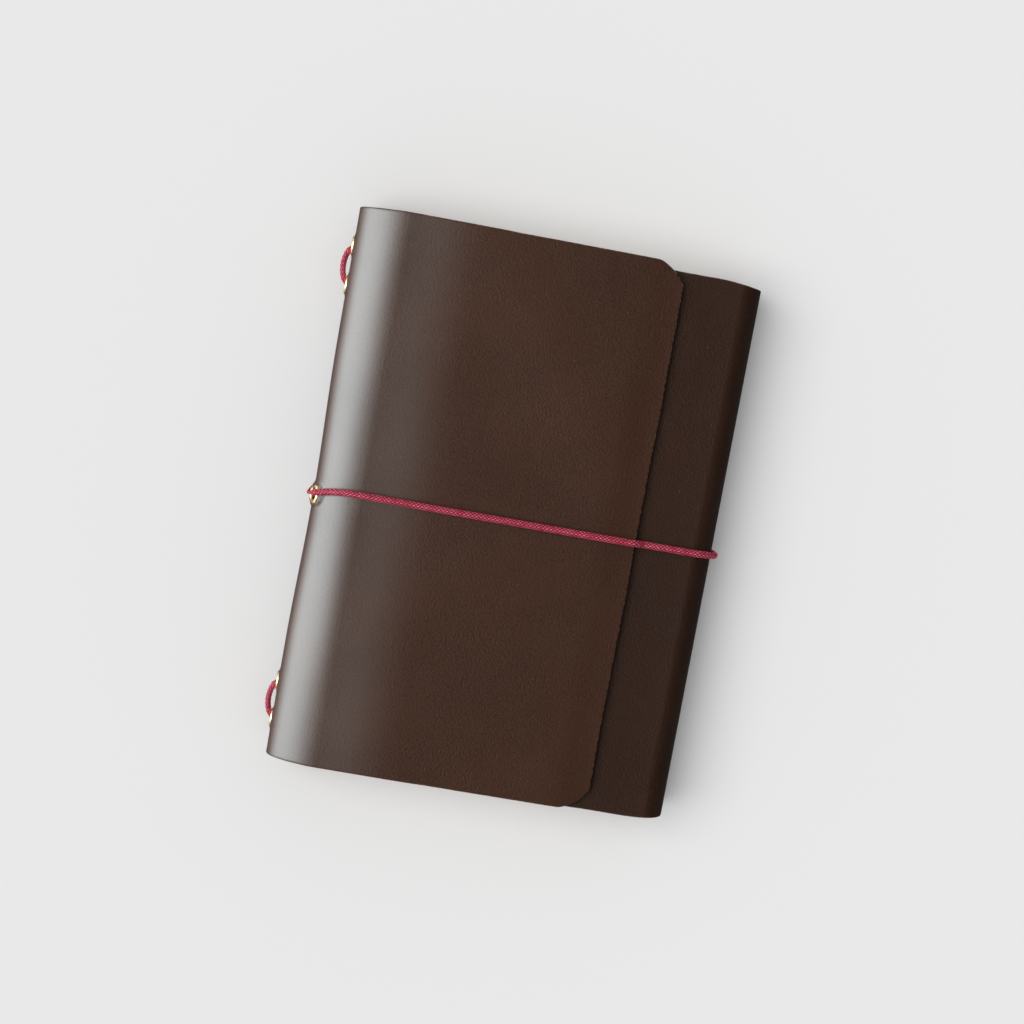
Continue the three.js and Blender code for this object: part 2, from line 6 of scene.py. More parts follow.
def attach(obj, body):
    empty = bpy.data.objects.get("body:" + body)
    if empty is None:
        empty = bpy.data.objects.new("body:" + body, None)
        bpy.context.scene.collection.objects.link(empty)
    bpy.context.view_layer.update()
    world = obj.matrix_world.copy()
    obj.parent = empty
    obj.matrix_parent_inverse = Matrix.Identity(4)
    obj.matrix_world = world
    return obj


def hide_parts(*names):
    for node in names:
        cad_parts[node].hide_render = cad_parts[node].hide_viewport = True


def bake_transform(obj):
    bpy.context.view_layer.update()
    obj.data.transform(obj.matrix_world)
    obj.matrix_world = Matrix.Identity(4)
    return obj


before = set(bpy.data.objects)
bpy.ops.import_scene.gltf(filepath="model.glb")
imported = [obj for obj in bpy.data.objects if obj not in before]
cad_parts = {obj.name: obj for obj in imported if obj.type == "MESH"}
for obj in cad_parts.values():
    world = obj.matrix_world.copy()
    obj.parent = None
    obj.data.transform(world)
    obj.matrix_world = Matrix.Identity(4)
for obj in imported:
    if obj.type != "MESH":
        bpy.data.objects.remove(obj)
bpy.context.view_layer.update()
print("frame loaded")

metresPerMm = 0.001


# Shader maths: a wire is a node's output, and sums on wires add Math nodes
class Wire:
    def __init__(self, tree, socket):
        self.tree = tree
        self.socket = socket

    # a Math node on numbers or wires
    def maths(self, operation, *values):
        inputs = dict(enumerate(values))
        return node(self.tree, "ShaderNodeMath", {"operation": operation}, inputs)

    def __add__(self, other):
        return self.maths("ADD", self, other)

    def __radd__(self, other):
        return self.maths("ADD", other, self)

    def __sub__(self, other):
        return self.maths("SUBTRACT", self, other)

    def __rsub__(self, other):
        return self.maths("SUBTRACT", other, self)

    def __mul__(self, other):
        return self.maths("MULTIPLY", self, other)

    def __rmul__(self, other):
        return self.maths("MULTIPLY", other, self)

    def largest(self, other):
        return self.maths("MAXIMUM", self, other)

    # runs smoothly from the value first to the value last while the wire goes from low to high
    def share(self, low, high, first=0.0, last=1.0):
        settings = {"interpolation_type": "SMOOTHSTEP"}
        inputs = {"Value": self, "From Min": low, "From Max": high, "To Min": first, "To Max": last}
        return node(self.tree, "ShaderNodeMapRange", settings, inputs)


# One node: its type, its settings, and the values or wires of its sockets
def node(tree, kind, settings=None, inputs=None, output=0):
    made = tree.nodes.new(kind)
    for name, value in (settings or {}).items():
        setattr(made, name, value)
    for name, value in (inputs or {}).items():
        socket = made.inputs[name]
        if isinstance(value, Wire):
            tree.links.new(value.socket, socket)
        else:
            socket.default_value = value
    return Wire(tree, made.outputs[output])


# A colour between two, on the Mix node's own sockets for colours
def mixed(tree, share, first, second):
    sockets = {0: share, 6: first, 7: second}
    return node(tree, "ShaderNodeMix", {"data_type": "RGBA"}, sockets, 2)


# A number kept with each point of a mesh
def attribute(tree, name):
    return node(tree, "ShaderNodeAttribute", {"attribute_name": name}, output="Fac")


# One of a vector's three parts: 0, 1 and 2 are x, y and z
def partOf(tree, vector, axis):
    return node(tree, "ShaderNodeSeparateXYZ", {}, {"Vector": vector}, axis)


# Noise from 0 to 1; a scale of 1000 is 1 wave per millimetre
def noiseOf(tree, where, scale, detail):
    return node(tree, "ShaderNodeTexNoise", {}, {"Vector": where, "Scale": scale, "Detail": detail})


# A normal tilted by a height from 0 to 1 that stands for some millimetres
def bumped(tree, height, strength, distanceMm):
    inputs = {"Height": height, "Strength": strength, "Distance": distanceMm * metresPerMm}
    return node(tree, "ShaderNodeBump", {}, inputs, "Normal")


# sRGB numbers from 0 to 255, as a linear colour
def colour(red, green, blue):
    share = np.array([red, green, blue]) / 255
    linear = np.where(share <= 0.04045, share / 12.92, ((share + 0.055) / 1.055) ** 2.4)
    return (*linear.tolist(), 1.0)


# A material with the values that are the same all over it
def newMaterial(name, fixed):
    material = bpy.data.materials.new(name)
    material.use_nodes = True
    tree = material.node_tree
    shader = tree.nodes["Principled BSDF"]
    for socket, value in fixed.items():
        shader.inputs[socket].default_value = value
    return material, tree, shader


# Links wires to the shader's sockets that may vary over a surface
def feed(tree, shader, **wires):
    names = {"baseColor": "Base Color", "roughness": "Roughness", "normal": "Normal",
             "coatWeight": "Coat Weight"}
    for name, wire in wires.items():
        tree.links.new(wire.socket, shader.inputs[names[name]])


# A squared cosine, from 1 at the centre to 0 at one half width away
def swell(distance, halfWidth):
    return np.cos(np.clip(np.abs(distance) / halfWidth, 0, 1) * np.pi / 2) ** 2


# From 0 at low to 1 at high, as 3 t^2 - 2 t^3
def smoothStep(value, low, high):
    share = np.clip((value - low) / (high - low), 0, 1)
    return share * share * (3 - 2 * share)


# The cover's section and the way the taut elastic draws it in, in millimetres as in the CAD source
cover = {
    "halfLength": 80.0, "thickness": 2.0, "spineX": -59.0, "foreX": 59.0,
    "panelEndX": 35.0, "flapEndX": 11.0, "topZ": 24.4, "flapTopZ": 22.1,
    "spineReach": 15.0, "spineRise": 8.6, "foreRadius": 7.0, "headTaper": 2.1,
    "strandY": -0.8, "pressHalfWidth": 10.0, "pressDepth": 2.5, "pressTop": 6.65,
    "spineSlack": 0.4, "valleyTop": 15.1,
    "drawnIn": 0.75, "drawnY": -3.2, "drawnHalfLength": 45.0,
    "cornerAcross": 8.2, "cornerAlong": 6.6, "cornerPower": 1.4,
    "edgeRadius": 0.4, "shiftX": 0.4292, "spare": 2.0,
    "seamZ": 8.95, "foreSeamZ": 11.0, "backSeamX": 0.0, "closureAt": (-58.5, 18.0),
}
spineCentreX = cover["spineX"] + cover["spineReach"]
foreCentreX = cover["foreX"] - cover["foreRadius"]


# Moves points of the plain wrap to where the elastic draws them, as the CAD source does:
# up under the back, square to the lower half of the spine, and the whole spine slightly in
def drawnIn(x, y, z):
    c = cover
    strength = c["pressDepth"] * swell(y - c["strandY"], c["pressHalfWidth"])
    across = (x - spineCentreX) / c["spineReach"]
    down = np.minimum(0, (z - c["spineRise"]) / c["spineRise"])
    ring, turn = np.hypot(across, down), np.arctan2(down, across)
    depthScale = c["spineReach"] * np.cos(turn) ** 2 + c["spineRise"] * np.sin(turn) ** 2
    inShare = np.maximum(0, 1 - (1 - ring) * depthScale / c["pressTop"])
    rising = np.clip((c["valleyTop"] - z) / (c["valleyTop"] - c["spineRise"]), 0, 1)
    amount = strength * inShare * rising * (1 - c["spineSlack"] * np.cos(turn) ** 2)
    inX, inZ = -across / c["spineReach"], -down / c["spineRise"]
    length = np.maximum(np.hypot(inX, inZ), 1e-9)
    onFlat = x >= spineCentreX
    moveX = np.where(onFlat, 0, amount * inX / length)
    lift = strength * np.maximum(0, 1 - z / c["pressTop"])
    moveZ = np.where(onFlat, lift, amount * inZ / length)
    nearSpine = np.clip(1 - (x - c["spineX"]) / c["spineReach"], 0, 1)
    moveX = moveX + c["drawnIn"] * nearSpine * swell(y - c["drawnY"], c["drawnHalfLength"])
    return x + moveX, y, z + moveZ


# A section is a chain of straight lines and arcs of ellipses, each sampled finely, with its
# outward normals and its running length
def sectionFrom(parts):
    lineCount, arcCount = 60, 240
    xs, zs, nxs, nzs = [], [], [], []
    for part in parts:
        if part[0] == "line":
            share = np.linspace(0, 1, lineCount)
            (x0, z0), (x1, z1), (nx, nz) = part[1:]
            xs.append(x0 + (x1 - x0) * share)
            zs.append(z0 + (z1 - z0) * share)
            nxs.append(np.full(lineCount, float(nx)))
            nzs.append(np.full(lineCount, float(nz)))
        else:
            (cx, cz), (a, b), (low, high) = part[1:]
            turn = np.radians(np.linspace(low, high, arcCount))
            normal = np.stack([np.cos(turn) / a, np.sin(turn) / b])
            normal /= np.linalg.norm(normal, axis=0)
            xs.append(cx + a * np.cos(turn))
            zs.append(cz + b * np.sin(turn))
            nxs.append(normal[0])
            nzs.append(normal[1])
    lines = np.array([np.concatenate(v) for v in (xs, zs, nxs, nzs)])
    step = np.hypot(*np.diff(lines[:2], axis=1))
    lines = lines[:, np.concatenate([[True], step > 1e-9])]  # parts share their end points
    step = np.hypot(*np.diff(lines[:2], axis=1))
    return np.concatenate([[0], np.cumsum(step)]), lines


# The place at a running length and a depth under the outer line
def sectionAt(section, s, depth):
    lengths, (x, z, nx, nz) = section
    at = [np.interp(s, lengths, v) for v in (x, z, nx, nz)]
    length = np.hypot(at[2], at[3])
    return at[0] - at[2] / length * depth, at[1] - at[3] / length * depth


# The wrap's outer line, from the panel's free edge round the spine, the back and the fore edge to the
# flap's end. It runs past both free ends, so that an uneven edge has leather to use
def wrapSection():
    c = cover
    spineSize = (c["spineReach"], c["spineRise"])
    foreSize = (c["foreRadius"], c["foreRadius"])
    spineTop, foreTop = c["topZ"] - c["spineRise"], c["flapTopZ"] - c["foreRadius"]
    return sectionFrom([
        ("line", (c["panelEndX"] + c["spare"], c["topZ"]), (spineCentreX, c["topZ"]), (0, 1)),
        ("arc", (spineCentreX, spineTop), spineSize, (90, 180)),
        ("line", (c["spineX"], spineTop), (c["spineX"], c["spineRise"]), (-1, 0)),
        ("arc", (spineCentreX, c["spineRise"]), spineSize, (180, 270)),
        ("line", (spineCentreX, 0), (foreCentreX, 0), (0, -1)),
        ("arc", (foreCentreX, c["foreRadius"]), foreSize, (-90, 0)),
        ("line", (c["foreX"], c["foreRadius"]), (c["foreX"], foreTop), (1, 0)),
        ("arc", (foreCentreX, foreTop), foreSize, (0, 90)),
        ("line", (foreCentreX, c["flapTopZ"]), (c["flapEndX"] - c["spare"], c["flapTopZ"]), (0, 1)),
    ])


leatherSection = wrapSection()


# The running length at which the section passes a place; near, a rough length, tells passes apart
def lengthAt(x=None, z=None, near=0):
    lengths, (xs, zs, _, _) = leatherSection
    miss = np.hypot(0 if x is None else xs - x, 0 if z is None else zs - z)
    return lengths[np.argmin(miss + np.abs(lengths - near) * 1e-4)]


# Running lengths at which the section's parts begin, the fold lines lie and the sheet ends
def wrapMarks():
    c = cover
    spineRound = c["panelEndX"] - spineCentreX + c["spare"]
    quarterRound = 19.0  # about a quarter of the spine
    return {
        "panelEnd": c["spare"],
        "spineRound": spineRound,
        "spineSeam": lengthAt(x=c["spineX"], z=c["seamZ"], near=spineRound + quarterRound),
        "closureSeat": lengthAt(*c["closureAt"], near=spineRound + quarterRound),
        "backStart": lengthAt(x=spineCentreX, z=0, near=spineRound + 2 * quarterRound),
        "backSeam": lengthAt(x=c["backSeamX"], z=0, near=spineRound + 80),
        "foreStart": lengthAt(x=foreCentreX, z=0, near=spineRound + 130),
        "foreSeam": lengthAt(x=c["foreX"], z=c["foreSeamZ"], near=spineRound + 150),
        "flapRound": lengthAt(x=foreCentreX, z=c["flapTopZ"], near=spineRound + 160),
        "flapEnd": leatherSection[0][-1] - c["spare"],
    }


sectionMarks = wrapMarks()


# The hide's relief and its trimmed edges, in millimetres. The knife's three waves are summed, and the
# panel's edge and the ends show a share of them
hide = {
    "waves": 0.10, "smallWaves": 0.06, "ripples": 0.03, "crown": 0.45, "crownRun": 24.0,
    "strandDip": 0.16, "strandHalf": 5.0, "foreFold": 0.32, "foreFoldHalf": 16.0,
    "knifeSlow": 0.10, "knifeMiddle": 0.06, "knifeFine": 0.035, "knifePanel": 0.8, "knifeEnds": 0.5,
    "spineBend": 21.0, "spineBendHalf": 22.0, "foreBendHalf": 14.0,
    "headAtSpine": 0.6, "headAtFore": 0.9, "tailAtSpine": 0.3, "tailAtFore": 0.6, "tailOut": 0.35,
}


# Soft unevenness of the sheet: on the panel a sum of sine waves, a crown at the side away from the
# spine and a shallow line under the strand, and the fore edge drawn slightly in
def hideRelief(s, y):
    m = sectionMarks
    waves = hide["waves"] * np.sin(s / 17 + 0.9) * np.sin(y / 23 + 0.4)
    waves += hide["smallWaves"] * np.sin(s / 8.5 - y / 13 + 1.7)
    waves += hide["ripples"] * np.sin(y / 6.1 + s / 9.7)
    crown = 1 - smoothStep(s, m["spineRound"] - hide["crownRun"], m["spineRound"] + 2)
    onPanel = smoothStep(s, m["panelEnd"], m["panelEnd"] + 12)
    onPanel *= 1 - smoothStep(s, m["spineRound"] + 2, m["spineRound"] + 12)
    underStrand = -hide["strandDip"] * swell(y - cover["strandY"], hide["strandHalf"])
    foreFold = -hide["foreFold"] * swell(s - m["foreSeam"], hide["foreFoldHalf"])
    return onPanel * (waves + hide["crown"] * crown + underStrand) + foreFold


# Uneven knife work along the panel's free edge and the head and tail edges: a sum of three sines
def edgeWander(along):
    slow = hide["knifeSlow"] * np.sin(along / 9.3 + 0.5)
    middle = hide["knifeMiddle"] * np.sin(along / 4.1 + 2.2)
    return slow + middle + hide["knifeFine"] * np.sin(along / 1.3)


# Eyelets: their places on the spine, and their sizes
eyelets = {
    "headInset": 11.5, "tailInset": 9.6, "pitch": 11.3, "z": 12.2, "lift": 0.05,
    "bore": 1.45, "barrel": 1.75, "flange": 2.9, "flangeRise": 0.7, "ring": 2.3, "ringRise": 0.5,
    "closureY": -3.2, "closureTilt": 25.0, "sides": 72, "sunk": 0.1, "lipRise": 0.22,
    "holeSpare": 0.06, "ringPower": 2.3, "gripSpare": 0.1,
}


# Each eyelet's seat: its place on the leather, outward direction, and own up direction
def eyeletSeats():
    e, c = eyelets, cover
    half = c["halfLength"]
    ys = [half - e["headInset"], half - e["headInset"] - e["pitch"],
          -half + e["tailInset"] + e["pitch"], -half + e["tailInset"]]
    names = ["headOuter", "headInner", "tailInner", "tailOuter"]
    seats = {}
    for name, y in zip(names, ys):
        at = drawnIn(np.array(c["spineX"]), np.array(y), np.array(e["z"]))
        seats[name] = {"seat": np.array(at, float), "tilt": 0.0}
    tilt = np.radians(e["closureTilt"])
    turn = np.arctan(np.tan(tilt) * c["spineRise"] / c["spineReach"])
    x = spineCentreX - c["spineReach"] * np.cos(turn)
    z = c["topZ"] - c["spineRise"] + c["spineRise"] * np.sin(turn)
    at = drawnIn(np.array(x), np.array(e["closureY"]), np.array(z))
    seats["closure"] = {"seat": np.array(at, float), "tilt": tilt}
    for seat in seats.values():
        seat["out"] = np.array([-np.cos(seat["tilt"]), 0, np.sin(seat["tilt"])])
        seat["up"] = np.array([np.sin(seat["tilt"]), 0, np.cos(seat["tilt"])])
    return seats


seats = eyeletSeats()


# Leather lies flat under each eyelet: heights over the seat's plane fade to the sheet's own depth,
# with a dish under the flange and a low lip round it
def seatedFlat(points, depth):
    flange = eyelets["flange"]
    for seat in seats.values():
        away = points - seat["seat"]
        height = away @ seat["out"]
        radial = np.linalg.norm(away - height[..., None] * seat["out"], axis=-1)
        share = 1 - smoothStep(radial, flange + 0.3, flange + 1.7)
        share = share * (np.abs(height) < 5)  # the spine only, not the back behind it
        dish = -eyelets["sunk"] * (1 - smoothStep(radial, flange - 0.2, flange + 0.2))
        lip = eyelets["lipRise"] * swell(radial - flange - 0.5, 0.6)
        points = points + ((dish + lip - depth - height) * share)[..., None] * seat["out"]
    return points


# A point of the wrap at running length s, at y along it and at a depth under its outer face: on the
# section, drawn in by the elastic, trimmed at head and tail, and flat under the eyelets
def leatherPoint(s, y, depth):
    m = sectionMarks
    nearPanel = 1 - smoothStep(s, m["panelEnd"] + 1, m["panelEnd"] + 9)
    cut = s + edgeWander(y) * hide["knifePanel"] * nearPanel
    x, z = sectionAt(leatherSection, cut, depth - hideRelief(s, y))
    x, y, z = drawnIn(x, y, z)
    spineBend = swell(s - m["spineRound"] - hide["spineBend"], hide["spineBendHalf"])
    foreBend = swell(s - (m["foreSeam"] + m["flapRound"]) / 2, hide["foreBendHalf"])
    taper = cover["headTaper"] * smoothStep(s, m["backStart"], m["foreStart"])
    atHead = taper + hide["headAtSpine"] * spineBend + hide["headAtFore"] * foreBend
    atTail = hide["tailAtSpine"] * spineBend + hide["tailAtFore"] * foreBend - hide["tailOut"]
    trim = np.where(y > 0, atHead, atTail)
    half = cover["halfLength"]
    wander = edgeWander(s * 1.3 + 11) * hide["knifeEnds"] * smoothStep(np.abs(y), half - 10, half)
    y = y * (1 - trim / half) - np.sign(y) * np.maximum(wander, 0)
    return seatedFlat(np.stack([x, y, z], axis=-1), depth)


# Points along a stretch, close together at an edge that is free
def stations(low, high, step, edges, freeLow=True, freeHigh=True):
    start = low + (edges[-1] if freeLow else 0)
    stop = high - (edges[-1] if freeHigh else 0)
    count = max(2, int(np.ceil((stop - start) / step)) + 1)
    inner = np.linspace(start, stop, count)
    head = [low + e for e in edges[:-1]] if freeLow else []
    tail = [high - e for e in edges[:-1]][::-1] if freeHigh else []
    return np.concatenate([head, inner, tail])


# The same points with more of them, a step apart, around some centres
def closerNear(values, centres, halfWidth, step):
    extra = np.arange(-halfWidth, halfWidth + step / 2, step)
    added = [centre + extra for centre in centres]
    merged = np.unique(np.round(np.concatenate([values, *added]), 4))
    keep = (merged >= values[0]) & (merged <= values[-1])
    return merged[keep]


# Drops points that lie closer than a gap to the one before
def spaced(values, gap):
    return values[np.concatenate([[True], np.diff(values) > gap])]


# The running length at each point of a line
def runAlong(line):
    return np.concatenate([[0], np.cumsum(np.linalg.norm(np.diff(line, axis=0), axis=1))])


# A mesh object from points in millimetres of the cover's own frame, which the CAD frame shifts along x
def addMesh(name, points, faces, material, corners=None, values=None, sharp=35):
    mesh = bpy.data.meshes.new(name)
    mesh.from_pydata((points + [cover["shiftX"], 0, 0]) * metresPerMm, [], faces)
    if corners is not None:
        uvLayer = mesh.uv_layers.new(name="UVMap")
        uvLayer.data.foreach_set("uv", corners.astype(np.float32).ravel())
    for key, value in (values or {}).items():
        layer = mesh.attributes.new(key, "FLOAT", "POINT")
        layer.data.foreach_set("value", value.astype(np.float32).ravel())
    mesh.materials.append(material)
    mesh.validate()
    mesh.update()
    mesh.shade_smooth()
    mesh.set_sharp_from_angle(angle=np.radians(sharp))
    made = bpy.data.objects.new(name, mesh)
    bpy.context.scene.collection.objects.link(made)
    return made


# Quads that look outwards: a closed mesh whose volume comes out negative is turned round
def facesOutwards(points, quads):
    a, b, c, d = (points[quads[:, k]] for k in range(4))
    volume = np.einsum("ij,ij->", a, np.cross(b, c)) + np.einsum("ij,ij->", a, np.cross(c, d))
    return quads if volume > 0 else quads[:, ::-1]


# The quads of a grid of vertex numbers
def quadsOf(index):
    a, b = index[:-1, :-1], index[1:, :-1]
    c, d = index[1:, 1:], index[:-1, 1:]
    return np.stack([a, b, c, d], axis=-1).reshape(-1, 4)


# A grid of vertex numbers closed round across its rows
def wrappedRound(index):
    return np.concatenate([index, index[:, :1]], axis=1)


# The rim of a grid of vertex numbers, in order round it
def rimOf(index):
    return np.concatenate([index[:-1, 0], index[-1, :-1], index[:0:-1, -1], index[0, :0:-1]])


# Where hands polish the leather: all over the spine, and a little on the fore edge
def handledShare(s):
    m = sectionMarks
    atSpine = smoothStep(s, m["spineRound"] - 22, m["spineRound"] - 5)
    atSpine = atSpine * (1 - smoothStep(s, m["backStart"] - 2, m["backStart"] + 12))
    atFore = smoothStep(s, m["foreStart"] - 10, m["foreStart"] + 4)
    atFore = atFore * (1 - smoothStep(s, m["flapRound"] - 4, m["flapRound"] + 10))
    return atSpine + 0.2 * atFore


# A sheet with thickness: the outer face is at(s, y, depth) at depth 0, rounded over at its free edges
# by the quarter circle r - sqrt(r^2 - sunk^2), the inner face the same at full depth, and a band
# closes the rim
def sheetMesh(name, at, sLine, yLine, edgeDistance, size, material):
    s, v = np.meshgrid(sLine, yLine, indexing="ij")
    y, distance = edgeDistance(s, v)
    radius, thickness = size["edgeRadius"], size["thickness"]
    sunk = np.clip(radius - distance, 0, radius)
    over = radius - np.sqrt(np.maximum(radius ** 2 - sunk ** 2, 0))
    outer = at(s, y, over)
    inner = at(s, y, thickness - over)
    count = s.size
    index = np.arange(count).reshape(s.shape)
    rim = rimOf(index)
    after = np.roll(rim, -1)
    band = np.stack([rim, rim + count, after + count, after], axis=-1)
    quads = np.concatenate([quadsOf(index), quadsOf(index)[:, ::-1] + count, band])
    points = np.concatenate([outer.reshape(-1, 3), inner.reshape(-1, 3)])
    quads = facesOutwards(points, quads)
    flat = np.stack([s.ravel(), y.ravel()], axis=-1)
    uv = np.concatenate([flat, flat])[quads.ravel()]
    rawEdge = 0.55  # how far in from its edge the sheet shows its cut
    cut = np.clip(1 - distance / rawEdge, 0, 1).ravel()
    values = {"cutEdge": np.concatenate([cut, cut]),
              "inside": np.concatenate([np.zeros(count), np.ones(count)]),
              "handled": np.concatenate([handledShare(s).ravel(), np.zeros(count)])}
    return addMesh(name, points, quads.tolist(), material, uv * metresPerMm, values)


# The leather's colours; deep is the colour of the painted shade over the flap
leather = {
    "light": (62, 36, 22), "middle": (55, 31, 18), "dark": (46, 25, 14), "deep": (22, 8, 3),
    "fibre": (150, 124, 102), "fleshSide": (96, 66, 47), "fleshDark": (78, 52, 36),
    "grainScale": 1500.0, "roughness": 0.46, "bumpMm": 0.075, "polish": 0.36, "flapShadeShare": 0.5,
}


# Pebbled grain from smooth Voronoi cells, clouded dye, painted shade over the flap, frayed fibres
# where the sheet is cut, a rough flesh side, and a coat of polish where it is handled. Noise scales
# are per metre
def leatherMaterial():
    fixed = {"IOR": 1.5, "Specular IOR Level": 0.25, "Coat Roughness": leather["polish"]}
    material, tree, shader = newMaterial("leather", fixed)
    uv = node(tree, "ShaderNodeTexCoord", output="UV")
    cutEdge, inside = attribute(tree, "cutEdge"), attribute(tree, "inside")
    handled = attribute(tree, "handled")

    def noise(scale, detail=3.0, rough=0.55, output="Fac"):
        values = {"Vector": uv, "Scale": scale, "Detail": detail, "Roughness": rough}
        return node(tree, "ShaderNodeTexNoise", {"noise_dimensions": "2D"}, values, output)

    cloud, patch = noise(28.0, 4.0), noise(9.0, 2.0)
    fine = noise(5200.0, 2.0, 0.6)
    drift = noise(700.0, 2.0, output="Color")
    nudged = node(tree, "ShaderNodeMix", {"data_type": "VECTOR"}, {0: 0.0003, 4: uv, 5: drift}, 1)
    cells = node(tree, "ShaderNodeTexVoronoi",
                 {"voronoi_dimensions": "2D", "feature": "SMOOTH_F1"},
                 {"Vector": nudged, "Scale": leather["grainScale"], "Smoothness": 0.35}, "Distance")
    pebble = cells.share(0.15, 0.75, 1.0, 0.0)
    height = pebble * 0.8 + fine * 0.25 + cloud * 1.2
    tone = cloud.share(0.3, 0.75) * 0.25 + patch.share(0.35, 0.7) * 0.2 + pebble * 0.42 - 0.06
    dyed = mixed(tree, tone, colour(*leather["dark"]), colour(*leather["middle"]))
    dyed = mixed(tree, tone * 0.9, dyed, colour(*leather["light"]))
    # the sheet's u runs along the section; from the fore edge on, the flap is darkened towards the
    # deep colour by painted shade
    foreStart = sectionMarks["foreStart"] * metresPerMm
    flapShade = partOf(tree, uv, 0).share(foreStart - 0.002, foreStart + 0.012,
                                        0.0, leather["flapShadeShare"])
    dyed = mixed(tree, flapShade, dyed, colour(*leather["deep"]))
    specks = noise(1300.0, 1.0).share(0.76, 0.8) * noise(260.0, 1.0).share(0.6, 0.66)
    dyed = mixed(tree, specks * 0.2, dyed, colour(*leather["fibre"]))
    frayed = cutEdge.share(0.35, 1.0) * noise(900.0, 4.0, 0.7).share(0.42, 0.62)
    edged = mixed(tree, frayed * 0.75, dyed, colour(*leather["fibre"]))
    flesh = mixed(tree, noise(1500.0, 5.0, 0.7), colour(*leather["fleshDark"]),
                  colour(*leather["fleshSide"]))
    shown = mixed(tree, inside.share(0.4, 0.6), edged, flesh)
    rough = leather["roughness"] + fine * 0.10 + inside * 0.35 + cutEdge * 0.2 - pebble * 0.05
    polished = handled * (1.0 - cutEdge) * cloud.share(0.1, 0.6, 0.85, 1.0)
    feed(tree, shader, baseColor=shown, roughness=rough, coatWeight=polished,
         normal=bumped(tree, height, 0.55, leather["bumpMm"]))
    return material


leatherLook = leatherMaterial()
print("leather material made")

# How far apart the sheet's points are, in millimetres, and how far they lie in from a free edge
sheetSteps = {"round": 0.4, "flat": 2.0, "along": 2.0, "strand": 0.8, "strandHalf": 12, "seat": 0.35,
              "seatHalf": 5.6, "closestAcross": 0.03, "closestAlong": 0.04}
edgeSteps = [0, 0.05, 0.12, 0.22, 0.4, 0.8, 1.6]


# Stations along the section between two of its marks: finer on the roundings and at free corners
def sectionStations(low, high, freeLow, freeHigh):
    line = stations(low, high, sheetSteps["flat"], edgeSteps, freeLow, freeHigh)
    m = sectionMarks
    rounds = [(m["spineRound"] - 1, m["backStart"] + 1), (m["foreStart"] - 1, m["flapRound"] + 1)]
    fine = [np.arange(a, b, sheetSteps["round"]) for a, b in rounds]
    arc = cover["cornerAcross"] * (1 - np.cos(np.linspace(0, np.pi / 2, 26)))
    if freeLow:
        fine.append(low + arc)
    if freeHigh:
        fine.append(high - arc)
    extra = np.concatenate(fine)
    extra = extra[(extra > low + 0.02) & (extra < high - 0.02)]
    merged = np.unique(np.round(np.concatenate([line, extra]), 4))
    keep = np.concatenate([[True], np.diff(merged) > sheetSteps["closestAcross"]])
    keep[-1] = True
    return merged[keep]


# The place along the sheet and the distance to its outline. A free corner is cut by hand, as the curve
# |a / across|^p + |b / along|^p = 1, and a point's distance to it is the curve's value over its slope
def leatherOutline(low, high, freeLow, freeHigh):
    half, across, along = cover["halfLength"], cover["cornerAcross"], cover["cornerAlong"]
    power = cover["cornerPower"]

    def outline(s, v):
        # into is how far in from the free end a point lies, and reach the half length there
        into = np.full_like(s, across)
        if freeLow:
            into = np.minimum(into, s - low)
        if freeHigh:
            into = np.minimum(into, high - s)
        a = np.clip(1 - into / across, 0, 1)
        reach = half - along * (1 - (1 - a ** power) ** (1 / power))
        margin = half - np.abs(v)
        inner = half - edgeSteps[-1]
        y = np.where(margin < edgeSteps[-1], np.sign(v) * (reach - margin),
                     v / inner * (reach - edgeSteps[-1]))
        b = np.clip(1 - (half - np.abs(y)) / along, 0, 1)
        value = 1 - a ** power - b ** power
        slope = power * np.hypot(a ** (power - 1) / across, b ** (power - 1) / along)
        inCorner = (a > 0) & (b > 0)
        plain = np.minimum(into, half - np.abs(y))
        return y, np.maximum(np.where(inCorner, value / np.maximum(slope, 1e-6), plain), 0)

    return outline


# One stretch of the wrap between two of its marks
def leatherSkin(name, lowMark, highMark, freeLow, freeHigh):
    low, high = sectionMarks[lowMark], sectionMarks[highMark]
    half = cover["halfLength"]
    sLine = sectionStations(low, high, freeLow, freeHigh)
    yLine = stations(-half, half, sheetSteps["along"], edgeSteps)
    yLine = closerNear(yLine, [cover["strandY"]], sheetSteps["strandHalf"], sheetSteps["strand"])
    if lowMark == "panelEnd":
        seatYs = [seat["seat"][1] for seat in seats.values()]
        yLine = closerNear(yLine, seatYs, sheetSteps["seatHalf"], sheetSteps["seat"])
    yLine = spaced(yLine, sheetSteps["closestAlong"])
    outline = leatherOutline(low, high, freeLow, freeHigh)
    return sheetMesh(name, leatherPoint, sLine, yLine, outline, cover, leatherLook)


frontSkin = leatherSkin("front_and_spine_leather", "panelEnd", "spineSeam", True, False)
backSpineSkin = leatherSkin("back_and_spine_leather", "spineSeam", "backSeam", False, False)
backForeSkin = leatherSkin("back_and_fore_edge_leather", "backSeam", "foreSeam", False, False)
flapSkin = leatherSkin("flap_leather_sheet", "foreSeam", "flapEnd", False, True)
print("leather sheets made")


